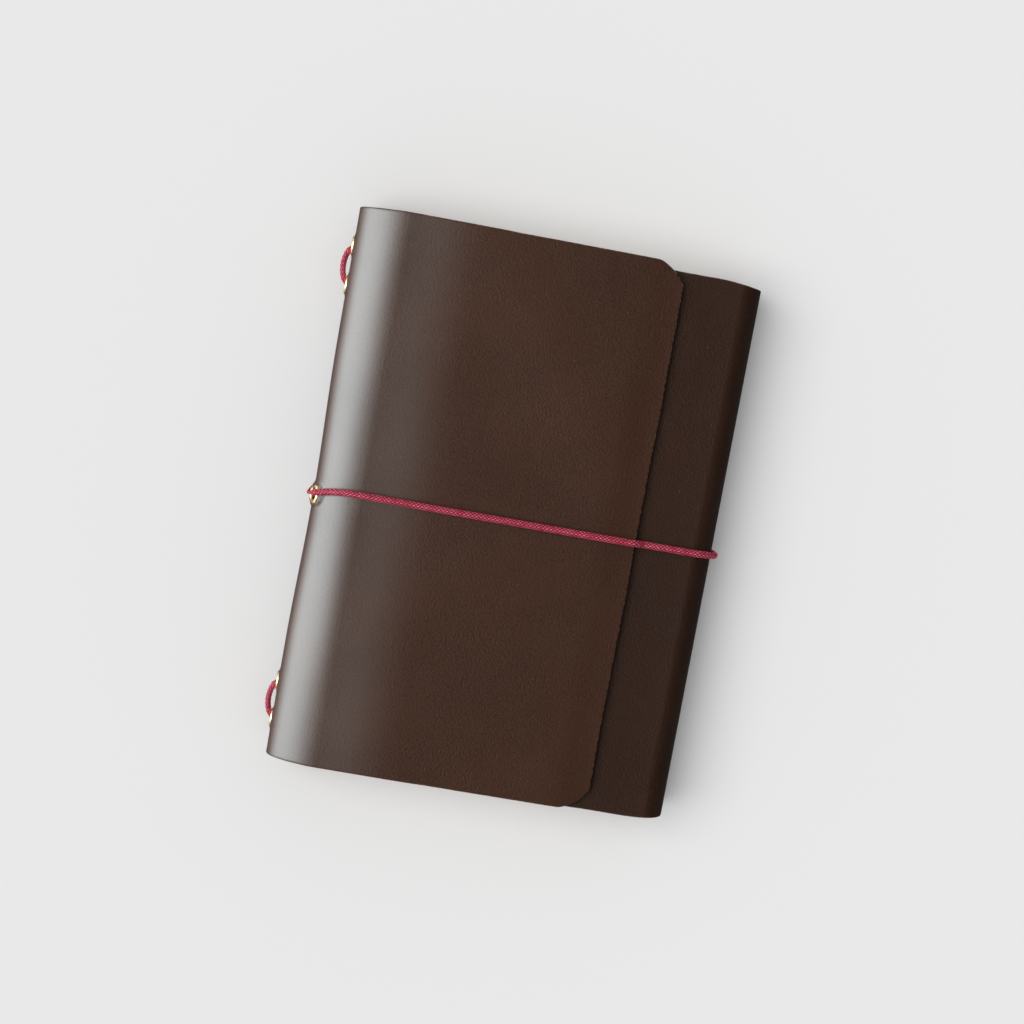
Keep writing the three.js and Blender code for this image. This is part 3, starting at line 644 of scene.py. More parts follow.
# Cylinders through the spine at the eyelet seats, cut out of the leather
def punchHoles(sheet):
    inwards, outwards = -6.0, 4.0
    turn = np.linspace(0, 2 * np.pi, 33)[:-1]
    radius = eyelets["barrel"] + eyelets["holeSpare"]
    for key, seat in seats.items():
        side = np.cross(seat["out"], seat["up"])
        circle = np.cos(turn)[:, None] * seat["up"] + np.sin(turn)[:, None] * side
        ends = [seat["seat"] + radius * circle + depth * seat["out"] for depth in (inwards, outwards)]
        count = len(turn)
        here = np.arange(count)
        after = np.roll(here, -1)
        sides = np.stack([here, after, after + count, here + count], axis=-1)
        faces = sides.tolist() + [here[::-1].tolist(), (here + count).tolist()]
        punch = addMesh("punch_" + key, np.concatenate(ends), faces, leatherLook)
        cut = sheet.modifiers.new("hole_" + key, "BOOLEAN")
        cut.operation, cut.object, cut.solver = "DIFFERENCE", punch, "MANIFOLD"
    bpy.context.view_layer.update()
    graph = bpy.context.evaluated_depsgraph_get()
    punched = bpy.data.meshes.new_from_object(sheet.evaluated_get(graph))
    sheet.modifiers.clear()
    sheet.data = punched
    for key in seats:
        bpy.data.objects.remove(bpy.data.objects["punch_" + key])


punchHoles(frontSkin)
print("eyelet holes cut", len(frontSkin.data.polygons))


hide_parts("front_cover_leather")
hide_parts("spine_leather")
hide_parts("back_cover_leather")
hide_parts("flap_leather", "fore_edge_leather")
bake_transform(frontSkin)
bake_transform(backSpineSkin)
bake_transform(backForeSkin)
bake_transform(flapSkin)


# A chain of points resampled at even distances
def evenly(route, step):
    route = np.asarray(route, float)
    run = runAlong(route)
    count = int(run[-1] / step) + 2
    at = np.linspace(0, run[-1], count)
    return np.stack([np.interp(at, run, route[:, k]) for k in range(3)], axis=-1)


# The same chain with its corners rounded by a running average under a raised cosine
def rounded(route, step, radius):
    line = evenly(route, step)
    width = max(1, int(radius / step))
    kernel = np.hanning(2 * width + 3)[1:-1]
    kernel /= kernel.sum()
    pad = len(kernel) // 2
    head = 2 * line[0] - line[pad:0:-1]
    tail = 2 * line[-1] - line[-2:-pad - 2:-1]
    wide = np.concatenate([head, line, tail])
    smooth = np.stack([np.convolve(wide[:, k], kernel, "valid") for k in range(3)], axis=-1)
    return evenly(smooth, step)


# Frames carried along a route without twist: each side arm is the last one made square again
def framesAlong(line, firstArm):
    tangent = np.gradient(line, axis=0)
    tangent /= np.linalg.norm(tangent, axis=1)[:, None]
    arms = np.empty_like(line)
    arm = np.array(firstArm, float)
    for k, t in enumerate(tangent):
        arm = arm - t * (arm @ t)
        arm /= np.linalg.norm(arm)
        arms[k] = arm
    return arms, np.cross(tangent, arms)


# The cord's colours: light is the painted highlight on the threads' crowns, deep the painted shade in
# the grooves
cord = {
    "radius": 1.05, "squeezed": 0.5, "carriers": 6, "cellLength": 1.2, "relief": 0.26,
    "sides": 40, "step": 0.17, "underStrand": 0.45,
    "light": (255, 128, 158), "middle": (192, 36, 66), "deep": (78, 6, 20),
}


# Rings of points round a line, at a reach for each point, and the quads between the rings. The frames
# turn the same way everywhere, so the quads of the grid look inwards and are turned round here
def tubeOf(line, reach, firstArm):
    arm, up = framesAlong(line, firstArm)
    angle = np.arange(reach.shape[1]) / reach.shape[1] * 2 * np.pi
    circle = np.cos(angle)[None, :, None] * arm[:, None] + np.sin(angle)[None, :, None] * up[:, None]
    points = line[:, None] + reach[..., None] * circle
    index = np.arange(reach.size).reshape(reach.shape)
    return points.reshape(-1, 3), quadsOf(wrappedRound(index))[:, ::-1], index


# A braided tube: the radius rises over each strand of two crossing sets of helices, which pass
# over and under each other in turn, and dips between them. A fan closes each end
def braidMesh(name, line, radius, material, firstArm=(0, 1, 0.01)):
    sides, under = cord["sides"], cord["underStrand"]
    turn = np.arange(sides) / sides
    run = runAlong(line)
    u, v = np.meshgrid(turn * cord["carriers"] / 2, run / cord["cellLength"] / 2, indexing="xy")
    right, left = u + v, u - v
    over = (np.floor(right * 2) + np.floor(left * 2)) % 2
    acrossRight = np.abs(np.sin(np.pi * right * 2))
    acrossLeft = np.abs(np.sin(np.pi * left * 2))
    crown = np.where(over > 0, acrossRight * (1 - under + under * acrossLeft),
                     acrossLeft * (1 - under + under * acrossRight))
    radius = np.broadcast_to(np.asarray(radius, float), run.shape)[:, None]
    reach = radius * (1 - cord["relief"] * (1 - crown))
    points, quads, index = tubeOf(line, reach, firstArm)
    last, rims = len(points), wrappedRound(index)[[0, -1]].tolist()
    start = [[last, b, a] for a, b in zip(rims[0], rims[0][1:])]
    end = [[last + 1, a, b] for a, b in zip(rims[1], rims[1][1:])]
    points = np.concatenate([points, line[[0, -1]]])
    values = {"crown": np.append(crown.ravel(), [0.5, 0.5]),
              "thread": np.append((over > 0).ravel(), [0.5, 0.5])}
    return addMesh(name, points, quads.tolist() + start + end, material, values=values, sharp=75)


# Threads with painted highlight on their crowns and painted shade in the grooves between them, the
# highlight stronger on one direction of threads and in dyed patches
def cordMaterial():
    material, tree, shader = newMaterial("elastic_cord", {"Specular IOR Level": 0.45})
    crown, thread = attribute(tree, "crown"), attribute(tree, "thread")
    where = node(tree, "ShaderNodeTexCoord", output="Object")
    fuzz = noiseOf(tree, where, 2600.0, 4.0)
    dye = noiseOf(tree, where, 420.0, 2.0)
    # painted shade in the grooves between the threads
    base = mixed(tree, crown.share(0.28, 0.9), colour(*cord["deep"]), colour(*cord["middle"]))
    # painted highlight on the crowns, stronger on the over threads and in dyed patches
    bright = (thread * 0.25 + dye.share(0.3, 0.7) * 0.7) * crown.share(0.5, 0.95)
    lit = mixed(tree, bright, base, colour(*cord["light"]))
    bump = bumped(tree, fuzz * 0.6 + crown * 0.4, 0.5, 0.12)
    feed(tree, shader, baseColor=lit, roughness=0.45 + fuzz * 0.2, normal=bump)
    return material


cordLook = cordMaterial()

# The closure elastic: how far its middle stands off the leather and the hole's side, where its strands
# lean to the eyelet and thin out towards it, and how far out they leave it
closure = {
    "standoff": 1.1, "gap": 0.1, "smoothing": 1.0, "step": 0.4, "leanRun": 14.0, "lowLeanRun": 11.0,
    "upperThin": (3.4, 5.6), "lowerThin": (7.0, 26.0), "upperOut": 1.3, "lowerOut": 0.85,
    "towardsHead": 0.7, "inside": 1.2, "pastFlange": 0.3, "upperEnd": 5.0, "lowerEnd": 6.0,
    "flapMeets": 26.5, "knotIn": 2.2, "knotSize": (2.1, 1.8),
}


# The strand's line: the leather's outer line at the strand, moved out so that the cord lies on it, and
# leaning to the eyelet by the square of the nearness to it
def strandLine(sLow, sHigh):
    s = np.arange(sLow, sHigh, closure["step"])
    fromEyelet = s - sectionMarks["closureSeat"]
    run = np.where(fromEyelet < 0, closure["leanRun"], closure["lowLeanRun"])
    lean = np.maximum(0, 1 - np.abs(fromEyelet) / run) ** 2
    lean = lean * (eyelets["closureY"] - cover["strandY"])
    y = cover["strandY"] + lean
    p = leatherPoint(s, y, 0.0)
    along = np.gradient(p, axis=0)
    along /= np.linalg.norm(along, axis=1)[:, None]
    out = np.stack([along[:, 2], np.zeros_like(s), -along[:, 0]], axis=-1)
    away = p - np.array([0.0, cover["strandY"], cover["topZ"] / 2])
    sign = np.sign(np.einsum("ij,ij->i", out, away))[:, None]
    return p + out * sign * closure["standoff"]


# A place from an eyelet's seat: up along its flange, out of the leather, and along the spine
def atSeat(seat, up, out, along=0.0):
    return seat["seat"] + up * seat["up"] + out * seat["out"] + np.array([0, along, 0])


# From the knot out of the eyelet, over the panel, round the fore edge, under the back and in again
def closureRoute():
    m, e, seat = sectionMarks, eyelets, seats["closure"]
    inHole = cord["squeezed"] + closure["gap"]

    def leaving(side, out, along):
        return [
            atSeat(seat, side * inHole, -cover["thickness"] - closure["inside"]),
            atSeat(seat, side * inHole, -cover["thickness"] / 2),
            atSeat(seat, side * inHole * 1.1, e["flangeRise"] / 2, along * 0.4),
            atSeat(seat, side * e["bore"], out, along * 0.8),
            atSeat(seat, side * (e["flange"] + closure["pastFlange"]), out, along),
        ]

    overPanel = strandLine(m["panelEnd"] + 0.5, m["closureSeat"] - closure["upperEnd"])[::-1]
    overFlap = strandLine(m["foreSeam"], m["flapEnd"] - closure["flapMeets"])[::-1]
    under = strandLine(m["closureSeat"] + closure["lowerEnd"], m["foreSeam"])[::-1]
    route = [*leaving(1, closure["upperOut"], closure["towardsHead"]), *overPanel, *overFlap, *under,
             *leaving(-1, closure["lowerOut"], 0.0)[::-1]]
    return rounded(route, cord["step"], closure["smoothing"])


# The cord's radius: squeezed in the hole, and swelling smoothly to the full cord away from it
def closureRadius(line):
    run = runAlong(line)
    share = smoothStep(run, *closure["upperThin"])
    share = share * smoothStep(run[-1] - run, *closure["lowerThin"])
    return cord["squeezed"] + (cord["radius"] - cord["squeezed"]) * share


closureLine = closureRoute()
closureLoop = braidMesh("closure_elastic_braid", closureLine, closureRadius(closureLine), cordLook)
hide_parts("closure_elastic")
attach(closureLoop, "closure_loop")
print("closure elastic made", len(closureLoop.data.polygons))


# The notebooks and their elastic: loops between paired eyelets outside, one run in each fold inside
inserts = {
    "foldX": -52.0, "endX": 53.0, "foldRadius": 4.25, "half": 74.0, "corner": 5.0,
    "card": 0.5, "inset": 0.6, "leafGap": 0.2, "lowerFold": 6.75, "upperFold": 15.55,
    "channelX": -54.5, "cordX": -45.8, "endRun": 75.35, "loopBulge": 2.1, "loopSlack": 0.36,
    "leaves": 26, "stapleY": 37.0, "stapleHalf": 6.0, "stapleWire": 0.3, "loopRadius": 0.88,
    "knotY": 72.24, "knotZ": 9.475, "knotSize": (1.7, 3.0), "turnIn": 0.6,
    "upperTurnZ": 12.4, "lowerTurnZ": 11.4, "leadTurnZ": 11.8, "upperRise": 8.0,
}


# A place in the channel between the notebooks' folds and the spine
def insideSpine(y, z):
    return np.array([inserts["channelX"], y, z])


# Out of one eyelet and into the next, bowed out between them by the sine of the share to the power 0.8
def outerLoop(first, second):
    i, depth = inserts, cover["thickness"]
    a, b = seats[first]["seat"][1], seats[second]["seat"][1]
    towards = np.sign(b - a)
    a, b = a + towards * 0.4, b - towards * 0.4

    def at(y, out):
        return np.array([cover["spineX"] - out, y, eyelets["z"]])

    arc = np.linspace(0, 1, 15)[1:-1]
    bow = i["loopSlack"] * (1 - swell(arc - 0.5, 0.5)) + i["loopBulge"] * np.sin(np.pi * arc) ** 0.8
    over = [at(a + (b - a) * share, out) for share, out in zip(arc, bow)]
    return [insideSpine(a, eyelets["z"]), at(a, -depth), at(a, -0.2),
            *over, at(b, -0.2), at(b, -depth), insideSpine(b, eyelets["z"])]


# From the spine round a notebook's end and back into its fold
def roundNotebookEnd(side, fold):
    i, turn = inserts, cord["radius"] * 1.4  # turn is how tightly the elastic goes round a corner
    end = side * i["endRun"]
    return [
        np.array([i["channelX"], end - side * turn * 2, fold]),
        np.array([i["channelX"] + turn * 0.4, end - side * turn * 0.6, fold]),
        np.array([i["channelX"] + turn * 1.4, end, fold]),
        np.array([i["cordX"] - turn * 1.4, end, fold]),
        np.array([i["cordX"] - turn * 0.4, end - side * turn * 0.4, fold]),
        np.array([i["cordX"], end - side * turn * 1.4, fold]),
        np.array([i["cordX"], end - side * turn * 4, fold]),
    ]


# The elastic's runs, each a piece of its own: both outer loops, the run in the upper notebook's fold,
# the two halves of the run in the lower one's, and the lead from the knot to its eyelet
def insertPieces():
    i = inserts
    ys = {key: seat["seat"][1] for key, seat in seats.items()}
    upper, lower = i["upperFold"], i["lowerFold"]
    hole = {key: np.array([cover["spineX"] + 0.6, y, eyelets["z"]]) for key, y in ys.items()}
    knot = np.array([i["channelX"], i["knotY"], i["knotZ"]])
    middle = np.array([i["cordX"], 0, lower])
    routes = {
        "head_spine_loop": outerLoop("headOuter", "headInner"),
        "tail_spine_loop": outerLoop("tailInner", "tailOuter"),
        "upper_fold_elastic": [
            hole["headInner"], insideSpine(ys["headInner"] + i["turnIn"], i["upperTurnZ"]),
            insideSpine(ys["headInner"] + i["upperRise"], upper),
            *roundNotebookEnd(1, upper), *roundNotebookEnd(-1, upper)[::-1],
            insideSpine(ys["tailInner"] - i["upperRise"], upper),
            insideSpine(ys["tailInner"] - i["turnIn"], i["upperTurnZ"]), hole["tailInner"],
        ],
        "lower_fold_elastic_tail": [
            hole["tailOuter"], insideSpine(ys["tailOuter"] - i["turnIn"], i["lowerTurnZ"]),
            *roundNotebookEnd(-1, lower)[1:], middle + np.array([0, 0.4, 0]),
        ],
        "lower_fold_elastic_head": [
            middle, *roundNotebookEnd(1, lower)[1:][::-1], knot + np.array([0, 1.0, -1.4]),
        ],
        "insert_knot_lead": [
            knot + np.array([0, -0.8, 0.8]), insideSpine(ys["headOuter"] + 0.8, i["leadTurnZ"]),
            hole["headOuter"],
        ],
    }
    made = {}
    for name, route in routes.items():
        line = rounded(route, cord["step"] * 1.2, 0.9)
        radius = i["loopRadius"] if name.endswith("loop") else cord["radius"]
        made[name] = braidMesh(name, line, radius, cordLook, (0.01, 0.02, 1))
    return made


insertCords = insertPieces()
for name in ("head_spine_loop", "tail_spine_loop"):
    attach(insertCords[name], "spine")
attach(insertCords["lower_fold_elastic_head"], "back_cover")
for name in ("upper_fold_elastic", "lower_fold_elastic_tail"):
    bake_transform(insertCords[name])
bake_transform(insertCords["insert_knot_lead"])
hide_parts("insert_elastic")
print("insert elastic made")


# A trefoil knot: sin t + 2 sin 2t and cos t - 2 cos 2t across its axis, and -sin 3t along it
def knotMesh(name, centre, axis, radius, thickness):
    t = np.linspace(0, 2 * np.pi, 181)[:-1]
    axis = np.array(axis, float)
    side = np.cross(axis, [0, 1, 0.2])
    side /= np.linalg.norm(side)
    other = np.cross(axis, side)
    wire = thickness * 0.30
    scale = (radius - wire) / 3
    x, y = np.sin(t) + 2 * np.sin(2 * t), np.cos(t) - 2 * np.cos(2 * t)
    z = -np.sin(3 * t) * (thickness / 2 - wire)
    line = centre + scale * (x[:, None] * side + y[:, None] * other) + z[:, None] * axis
    line = np.concatenate([line, line[:1]])
    return braidMesh(name, line, wire, cordLook, axis + 0.01)


closureSeat = seats["closure"]
closureKnotAt = atSeat(closureSeat, 0, -cover["thickness"] - closure["knotIn"])
closureKnot = knotMesh("closure_knot_tied", closureKnotAt, closureSeat["out"], *closure["knotSize"])
insertKnotAt = np.array([inserts["channelX"], inserts["knotY"], inserts["knotZ"]])
insertKnot = knotMesh("insert_knot_tied", insertKnotAt, (1, 0, 0), *inserts["knotSize"])
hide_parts("closure_knot")
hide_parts("insert_knot")
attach(closureKnot, "spine")
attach(insertKnot, "back_cover")
print("knots made")

brass = {"bright": (246, 224, 172), "warm": (222, 182, 118), "dull": (158, 112, 60),
         "roughness": 0.24}


# Brass with patches of warmer patina and fine dull scratches
def brassMaterial():
    material, tree, shader = newMaterial("eyelet_brass", {"Metallic": 1.0})
    where = node(tree, "ShaderNodeTexCoord", output="Object")
    patina = noiseOf(tree, where, 600.0, 3.0)
    scratch = noiseOf(tree, where, 4200.0, 5.0)
    base = mixed(tree, patina.share(0.35, 0.7), colour(*brass["bright"]), colour(*brass["warm"]))
    worn = mixed(tree, scratch.share(0.56, 0.72) * 0.5, base, colour(*brass["dull"]))
    rough = brass["roughness"] + scratch * 0.12
    feed(tree, shader, baseColor=worn, roughness=rough, normal=bumped(tree, scratch, 0.2, 0.02))
    return material


brassLook = brassMaterial()


# An eyelet's wall in section: a domed flange outside, a barrel, and a smaller rolled ring inside,
# turned about its axis; a half ring is a half of |x/a|^p + |y/b|^p = 1
def eyeletMesh(name, seat):
    e, grip = eyelets, cover["thickness"] + eyelets["gripSpare"]
    turn = np.linspace(0, np.pi, 15)
    power = 2 / e["ringPower"]

    def halfRing(outerRadius, rise, base):
        middle, reach = (e["bore"] + outerRadius) / 2, (outerRadius - e["bore"]) / 2
        radial = middle + reach * np.sign(np.cos(turn)) * np.abs(np.cos(turn)) ** power
        return np.stack([radial, base + rise * np.sin(turn) ** power], axis=-1)

    top = halfRing(e["flange"], e["flangeRise"], 0.0)
    bottom = halfRing(e["ring"], -e["ringRise"], -grip)[::-1]
    barrel = np.array([[e["barrel"], -grip], [e["barrel"], 0.0]])
    profile = np.concatenate([top, bottom, barrel])
    angle = np.linspace(0, 2 * np.pi, e["sides"] + 1)[:-1]
    side = np.cross(seat["up"], seat["out"])
    circle = np.cos(angle)[:, None] * seat["up"] + np.sin(angle)[:, None] * side
    base = seat["seat"] + (e["lift"] - e["sunk"]) * seat["out"]
    points = base + profile[:, None, :1] * circle + profile[:, None, 1:] * seat["out"]
    index = wrappedRound(np.arange(points[..., 0].size).reshape(len(profile), -1))
    index = np.concatenate([index, index[:1]])
    points = points.reshape(-1, 3)
    quads = facesOutwards(points, quadsOf(index))
    return addMesh(name, points, quads.tolist(), brassLook, sharp=50)


eyeletNodes = {"headOuter": "head_outer", "headInner": "head_inner", "tailInner": "tail_inner",
               "tailOuter": "tail_outer", "closure": "closure"}
for key, words in eyeletNodes.items():
    turned = eyeletMesh(words + "_eyelet_turned", seats[key])
    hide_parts(words + "_eyelet")
    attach(turned, "spine")
print("eyelets made")

paper = {"card": (176, 138, 98), "cardFibre": (140, 102, 66), "page": (238, 230, 208),
         "pageShade": (212, 200, 172)}


# Brown card with short fibres that lie across the fold
def cardMaterial():
    material, tree, shader = newMaterial("notebook_card", {"Specular IOR Level": 0.3})
    where = node(tree, "ShaderNodeTexCoord", output="Object")
    stretched = node(tree, "ShaderNodeMapping", {}, {"Vector": where, "Scale": (1.0, 3.0, 1.0)})
    fibre = noiseOf(tree, stretched, 1400.0, 6.0)
    cloud = noiseOf(tree, where, 60.0, 3.0)
    base = mixed(tree, fibre.share(0.45, 0.7) * 0.5 + cloud * 0.15,
                 colour(*paper["card"]), colour(*paper["cardFibre"]))
    bump = bumped(tree, fibre, 0.3, 0.03)
    feed(tree, shader, baseColor=base, roughness=0.78 + fibre * 0.12, normal=bump)
    return material


# Cream paper, shaded between its leaves
def pageMaterial():
    material, tree, shader = newMaterial("notebook_paper", {"Specular IOR Level": 0.25})
    where = node(tree, "ShaderNodeTexCoord", output="Object")
    tooth = noiseOf(tree, where, 2600.0, 3.0)
    shade = attribute(tree, "between") * 0.75 + tooth.share(0.4, 0.7) * 0.12
    base = mixed(tree, shade, colour(*paper["page"]), colour(*paper["pageShade"]))
    bump = bumped(tree, tooth, 0.2, 0.02)
    feed(tree, shader, baseColor=base, roughness=0.86 + tooth * 0.06, normal=bump)
    return material


cardLook, pageLook = cardMaterial(), pageMaterial()


# Leaves and card over the elastic give way upwards, less and less with their height over the floor
def drawnBelow(points):
    c = cover
    strength = c["pressDepth"] * swell(points[..., 1] - c["strandY"], c["pressHalfWidth"])
    lift = strength * np.maximum(0, 1 - points[..., 2] / c["pressTop"])
    return points + np.stack([np.zeros_like(lift), np.zeros_like(lift), lift], axis=-1)


# A folded card's section: a straight run, a half circle round the fold, and a straight run back
def cardSection(fold):
    i = inserts
    centreX = i["foldX"] + i["foldRadius"]
    size = (i["foldRadius"], i["foldRadius"])
    upper = [(i["endX"], fold + i["foldRadius"]), (centreX, fold + i["foldRadius"])]
    lower = [(centreX, fold - i["foldRadius"]), (i["endX"], fold - i["foldRadius"])]
    return sectionFrom([("line", *upper, (0, 1)), ("arc", (centreX, fold), size, (90, 270)),
                        ("line", *lower, (0, -1))])


# A notebook's cover: the card's section carried along the fold, with round corners
def cardMesh(name, fold, pressed):
    i = inserts
    section = cardSection(fold)
    total = section[0][-1]
    size = {"edgeRadius": 0.12, "thickness": i["card"]}
    edges, apart, closest = [0, 0.03, 0.08, 0.14, 0.5], 3.0, 0.02
    r, half = i["corner"], i["half"]
    arc = r * (1 - np.cos(np.linspace(0, np.pi / 2, 20)))
    flat = i["endX"] - i["foldX"] - i["foldRadius"]
    line = stations(0, total, apart, edges)
    bend = np.linspace(flat, total - flat, 40)
    sLine = np.unique(np.round(np.concatenate([line, arc[1:], total - arc[1:], bend]), 3))
    yLine = closerNear(stations(-half, half, apart, edges), [cover["strandY"]], 12, 1.0)

    def outline(s, v):
        into = np.minimum(r, np.minimum(s, total - s))
        reach = half - (r - np.sqrt(np.maximum(r ** 2 - (r - into) ** 2, 0)))
        y = v / half * reach
        return y, np.maximum(np.minimum(np.minimum(s, total - s), reach - np.abs(y)), 0)

    def at(s, y, depth):
        x, z = sectionAt(section, s, depth)
        points = np.stack([x, y, z], axis=-1)
        return drawnBelow(points) if pressed else points

    sLine, yLine = spaced(sLine, closest), spaced(yLine, closest)
    return sheetMesh(name, at, sLine, yLine, outline, size, cardLook)


# Half a notebook's leaves as one block, whose three cut sides step in and out leaf by leaf: one ring
# of points for each level, with round corners, and room for the cord in the fold
def pageMesh(name, fold, side, pressed):
    i = inserts
    levels = np.arange(i["leaves"] * 2)
    near, far = i["leafGap"] / 2, i["foldRadius"] - i["inset"]
    height = near + (far - near) * np.linspace(0, 1, len(levels))
    odd = levels % 2
    leafStep = 0.06 * odd + 0.05 * np.sin(levels * 2.4) ** 2
    r = i["corner"]
    backX = i["foldX"] + i["foldRadius"] - np.sqrt(np.maximum(far ** 2 - height ** 2, 0.0))
    slot = cord["radius"] + 0.25  # half the room that the cord has between the leaves
    cleared = np.sqrt(np.maximum(slot ** 2 - height ** 2, 0))
    backX = np.where(height < slot, np.maximum(backX, i["cordX"] + cleared), backX)[:, None]
    endX, reach = (i["endX"] - leafStep * 1.6)[:, None], (i["half"] - leafStep)[:, None]
    turn = np.linspace(0, np.pi / 2, 14)
    topX = backX + (endX - r - backX) * np.linspace(0, 1, 30)[:-1]
    down = 1 - 2 * np.linspace(0, 1, 60)[1:-1]
    roundX, roundY = endX - r + r * np.sin(turn), reach - r + r * np.cos(turn)
    x = np.hstack([topX, roundX, endX + 0 * down, roundX[:, ::-1], topX[:, ::-1], backX + 0 * down])
    y = np.hstack([reach + 0 * topX, roundY, (reach - r) * down, -roundY[:, ::-1],
                   -reach + 0 * topX, -reach * down])
    points = np.stack([x, y, (fold + side * height)[:, None] + 0 * x], axis=-1)
    points = drawnBelow(points) if pressed else points
    index = np.arange(x.size).reshape(x.shape)
    # the levels below the fold run downwards, so the faces there are turned round
    turned = slice(None, None, side)
    quads = quadsOf(wrappedRound(index))[:, turned].tolist()
    caps = [index[0][::-side].tolist(), index[-1][turned].tolist()]
    values = {"between": np.repeat(1.0 - odd, x.shape[1])}
    return addMesh(name, points.reshape(-1, 3), quads + caps, pageLook, values=values)


# A notebook in its folded card, with its leaves below and above the middle
def notebook(name, fold, pressed):
    card = cardMesh(name + "_kraft_cover", fold, pressed)
    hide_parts(name + "_notebook_back_card", name + "_notebook_front_card")
    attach(card, "back_cover")
    for half, side in (("back", -1), ("front", 1)):
        leaves = pageMesh(name + "_" + half + "_leaves", fold, side, pressed and side < 0)
        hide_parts(name + "_notebook_" + half + "_pages")
        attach(leaves, "back_cover")


notebook("lower", inserts["lowerFold"], True)
notebook("upper", inserts["upperFold"], False)
print("notebooks made")


steel = {"bright": (206, 206, 208), "dull": (160, 160, 164), "roughness": 0.28}


# Steel wire, unevenly dull from being drawn
def steelMaterial():
    material, tree, shader = newMaterial("staple_steel", {"Metallic": 1.0})
    where = node(tree, "ShaderNodeTexCoord", output="Object")
    drawn = noiseOf(tree, where, 3000.0, 4.0)
    base = mixed(tree, drawn, colour(*steel["bright"]), colour(*steel["dull"]))
    feed(tree, shader, baseColor=base, roughness=steel["roughness"] + drawn * 0.14)
    return material


steelLook = steelMaterial()


# A round wire along a route, closed by a flat face at both ends
def wireMesh(name, line, radius, material, sides=14):
    points, quads, index = tubeOf(line, np.full((len(line), sides), radius), (0.02, 0.01, 1))
    caps = [index[0][::-1].tolist(), index[-1].tolist()]
    return addMesh(name, points, quads.tolist() + caps, material, sharp=50)


# A staple's wire: flat over the fold outside, through it at both ends, and clinched inside
def stapleRoute(y, fold):
    i = inserts
    crown = i["foldX"] + i["stapleWire"] * 0.6
    clinch = i["foldX"] + i["foldRadius"] + i["stapleWire"]
    half, tip = i["stapleHalf"], i["stapleWire"] * 3
    bow, bend, step = 0.12, 0.3, 0.12

    def at(x, dy):
        return np.array([x, y + dy, fold])

    one = [at(clinch + bow, tip), at(clinch, half - bend), at(clinch - bend, half),
           at(crown + bend, half), at(crown, half - bend)]
    other = [np.array([p[0], 2 * y - p[1], p[2]]) for p in one[::-1]]
    return rounded(one + other, step, bend)


for name, fold in (("lower", inserts["lowerFold"]), ("upper", inserts["upperFold"])):
    for end, side in (("head", 1), ("tail", -1)):
        words = name + "_" + end + "_staple"
        line = stapleRoute(side * inserts["stapleY"], fold)
        wire = wireMesh(words + "_wire", line, inserts["stapleWire"], steelLook)
        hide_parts(words)
        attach(wire, "back_cover")
print("staples made")


# Studio: a pale floor under an even sky and one soft sun. Shiny surfaces show a darker room, with a
# broad pale screen on the spine's side. The sun is its elevation, azimuth, strength and angle
studio = {
    "floor": 0.83, "floorReach": 2.4, "backdrop": 0.815, "sky": 0.45,
    "sun": (58.0, -3.0, 1.975, 54.0), "horizon": 0.5, "zenith": 0.03, "sides": (-0.9, 0.9),
    "sideLight": (0.05, 1.95), "screen": 9.8, "screenTint": (237, 252, 255),
    "screenSide": (0.13, 0.62), "screenFoot": (-0.2, 0.32), "screenAcross": (0.25, 0.6),
    "floorShine": (-0.2, -0.06), "floorGlow": (3.2, 0.12),
    "camera": (-42.75, 40.58, 519.45), "focal": 61.45, "sensor": 36.0,
    "right": (0.98155, 0.17886, 0.06759), "imageDown": (0.17248, -0.98082, 0.0908),
    "forward": (0.08253, -0.07746, -0.99357),
}


# A pale floor that is bright on the screen's side and dark on the other in a shiny surface
def addFloor():
    mesh = bpy.data.meshes.new("floor")
    reach = studio["floorReach"]
    corners = [(-reach, -reach, 0), (reach, -reach, 0), (reach, reach, 0), (-reach, reach, 0)]
    mesh.from_pydata(corners, [], [(0, 1, 2, 3)])
    floor = bpy.data.objects.new("floor", mesh)
    bpy.context.scene.collection.objects.link(floor)
    material, tree, shader = newMaterial("floor", {"Roughness": 0.9, "Specular IOR Level": 0.0})
    shader.inputs["Base Color"].default_value = (*[studio["floor"]] * 3, 1.0)
    where = node(tree, "ShaderNodeTexCoord", output="Object")
    glow = partOf(tree, where, 0).share(*studio["floorShine"], *studio["floorGlow"])
    mirrored = node(tree, "ShaderNodeEmission", {}, {"Color": glow * studio["floor"]})
    shine = node(tree, "ShaderNodeLightPath", output="Is Glossy Ray")
    plain = Wire(tree, shader.outputs[0])
    shown = node(tree, "ShaderNodeMixShader", {}, {0: shine, 1: plain, 2: mirrored})
    tree.links.new(shown.socket, tree.nodes["Material Output"].inputs["Surface"])
    mesh.materials.append(material)


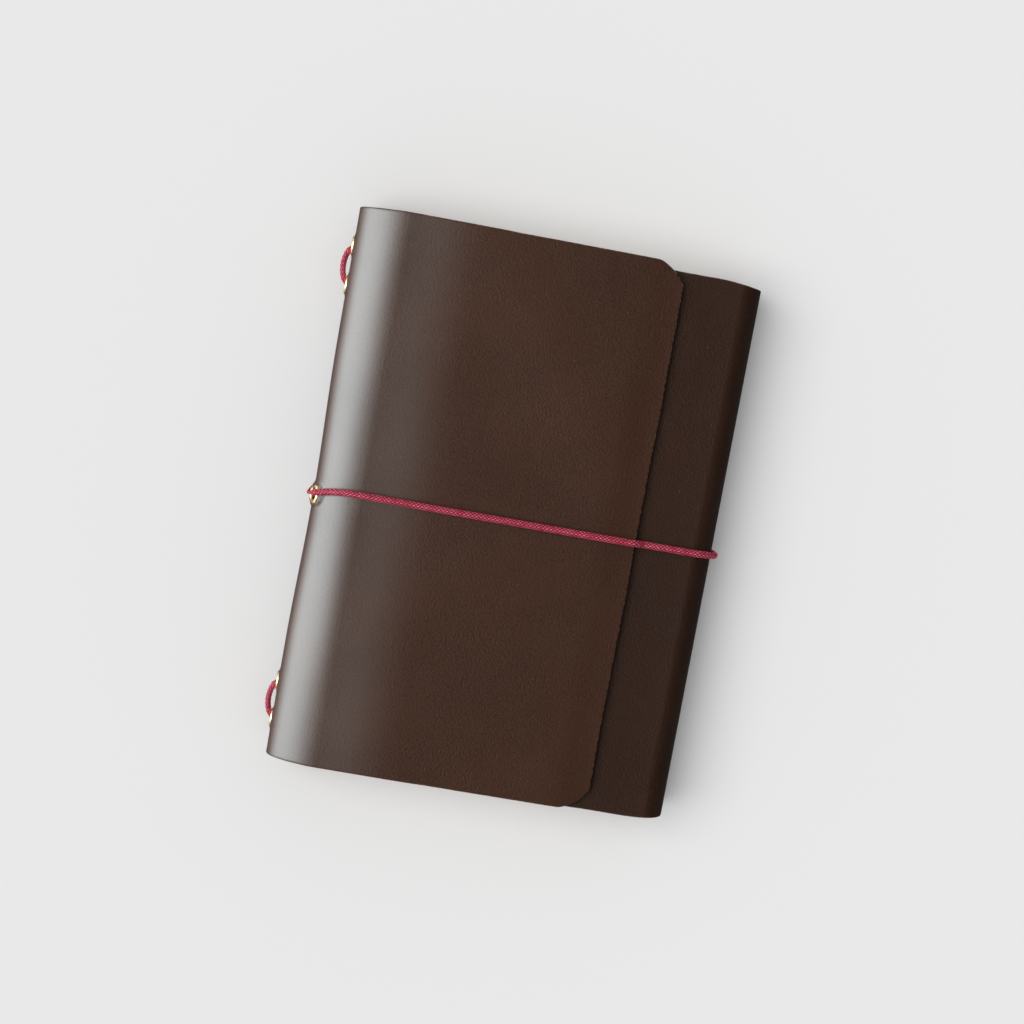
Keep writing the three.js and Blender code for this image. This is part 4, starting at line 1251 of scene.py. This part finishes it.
# A soft sun that shiny rays don't see
def addSun(elevation, azimuth, strength, angle):
    lamp = bpy.data.lights.new("sun", "SUN")
    lamp.energy, lamp.angle = strength, np.radians(angle)
    sun = bpy.data.objects.new("sun", lamp)
    sun.rotation_euler = (0, -np.radians(90 - elevation), np.radians(azimuth))
    sun.visible_glossy = False
    bpy.context.scene.collection.objects.link(sun)


# An even sky for diffuse rays, a plain backdrop for the camera, and a room with the screen for shiny
# rays; directions come from the world's own coordinates
def addWorld():
    world = bpy.data.worlds.new("studio")
    bpy.context.scene.world = world
    world.use_nodes = True
    tree = world.node_tree
    direction = node(tree, "ShaderNodeTexCoord", output="Generated")
    side, along, height = (partOf(tree, direction, axis) for axis in range(3))
    lit = (0.0 - side).share(*studio["sides"], *studio["sideLight"])
    room = studio["zenith"] + studio["horizon"] * (1.0 - height.largest(0.0)) * lit
    turned = along.largest(0.0 - along).share(*studio["screenAcross"], 1.0, 0.0)
    screen = (0.0 - side).share(*studio["screenSide"]) * height.share(*studio["screenFoot"]) * turned
    shine = node(tree, "ShaderNodeLightPath", output="Is Glossy Ray")
    seen = node(tree, "ShaderNodeLightPath", output="Is Camera Ray")
    level = (room + screen * studio["screen"]) * shine
    level = level + (1.0 - shine) * (1.0 - seen) * studio["sky"] + studio["backdrop"] * seen
    background = tree.nodes["Background"]
    tint = mixed(tree, shine, colour(255, 255, 255), colour(*studio["screenTint"]))
    tree.links.new(tint.socket, background.inputs["Color"])
    tree.links.new(level.socket, background.inputs["Strength"])


# The camera that the photograph was taken with, from its fitted place and axes
def addCamera():
    data = bpy.data.cameras.new("photo")
    data.lens, data.sensor_width = studio["focal"], studio["sensor"]
    data.clip_start, data.clip_end = 0.01, 20.0
    camera = bpy.data.objects.new("photo", data)
    right, down = np.array(studio["right"]), np.array(studio["imageDown"])
    forward = np.array(studio["forward"])
    at = np.array(studio["camera"]) + np.array([cover["shiftX"], 0, 0])
    matrix = np.eye(4)
    matrix[:3] = np.stack([right, -down, -forward, at * metresPerMm], axis=1)
    camera.matrix_world = Matrix(matrix.tolist())
    bpy.context.scene.collection.objects.link(camera)
    bpy.context.scene.camera = camera


addFloor()
addSun(*studio["sun"])
addWorld()
addCamera()
bpy.context.scene.view_settings.view_transform = "Standard"
print("studio made")

bpy.context.view_layer.update()
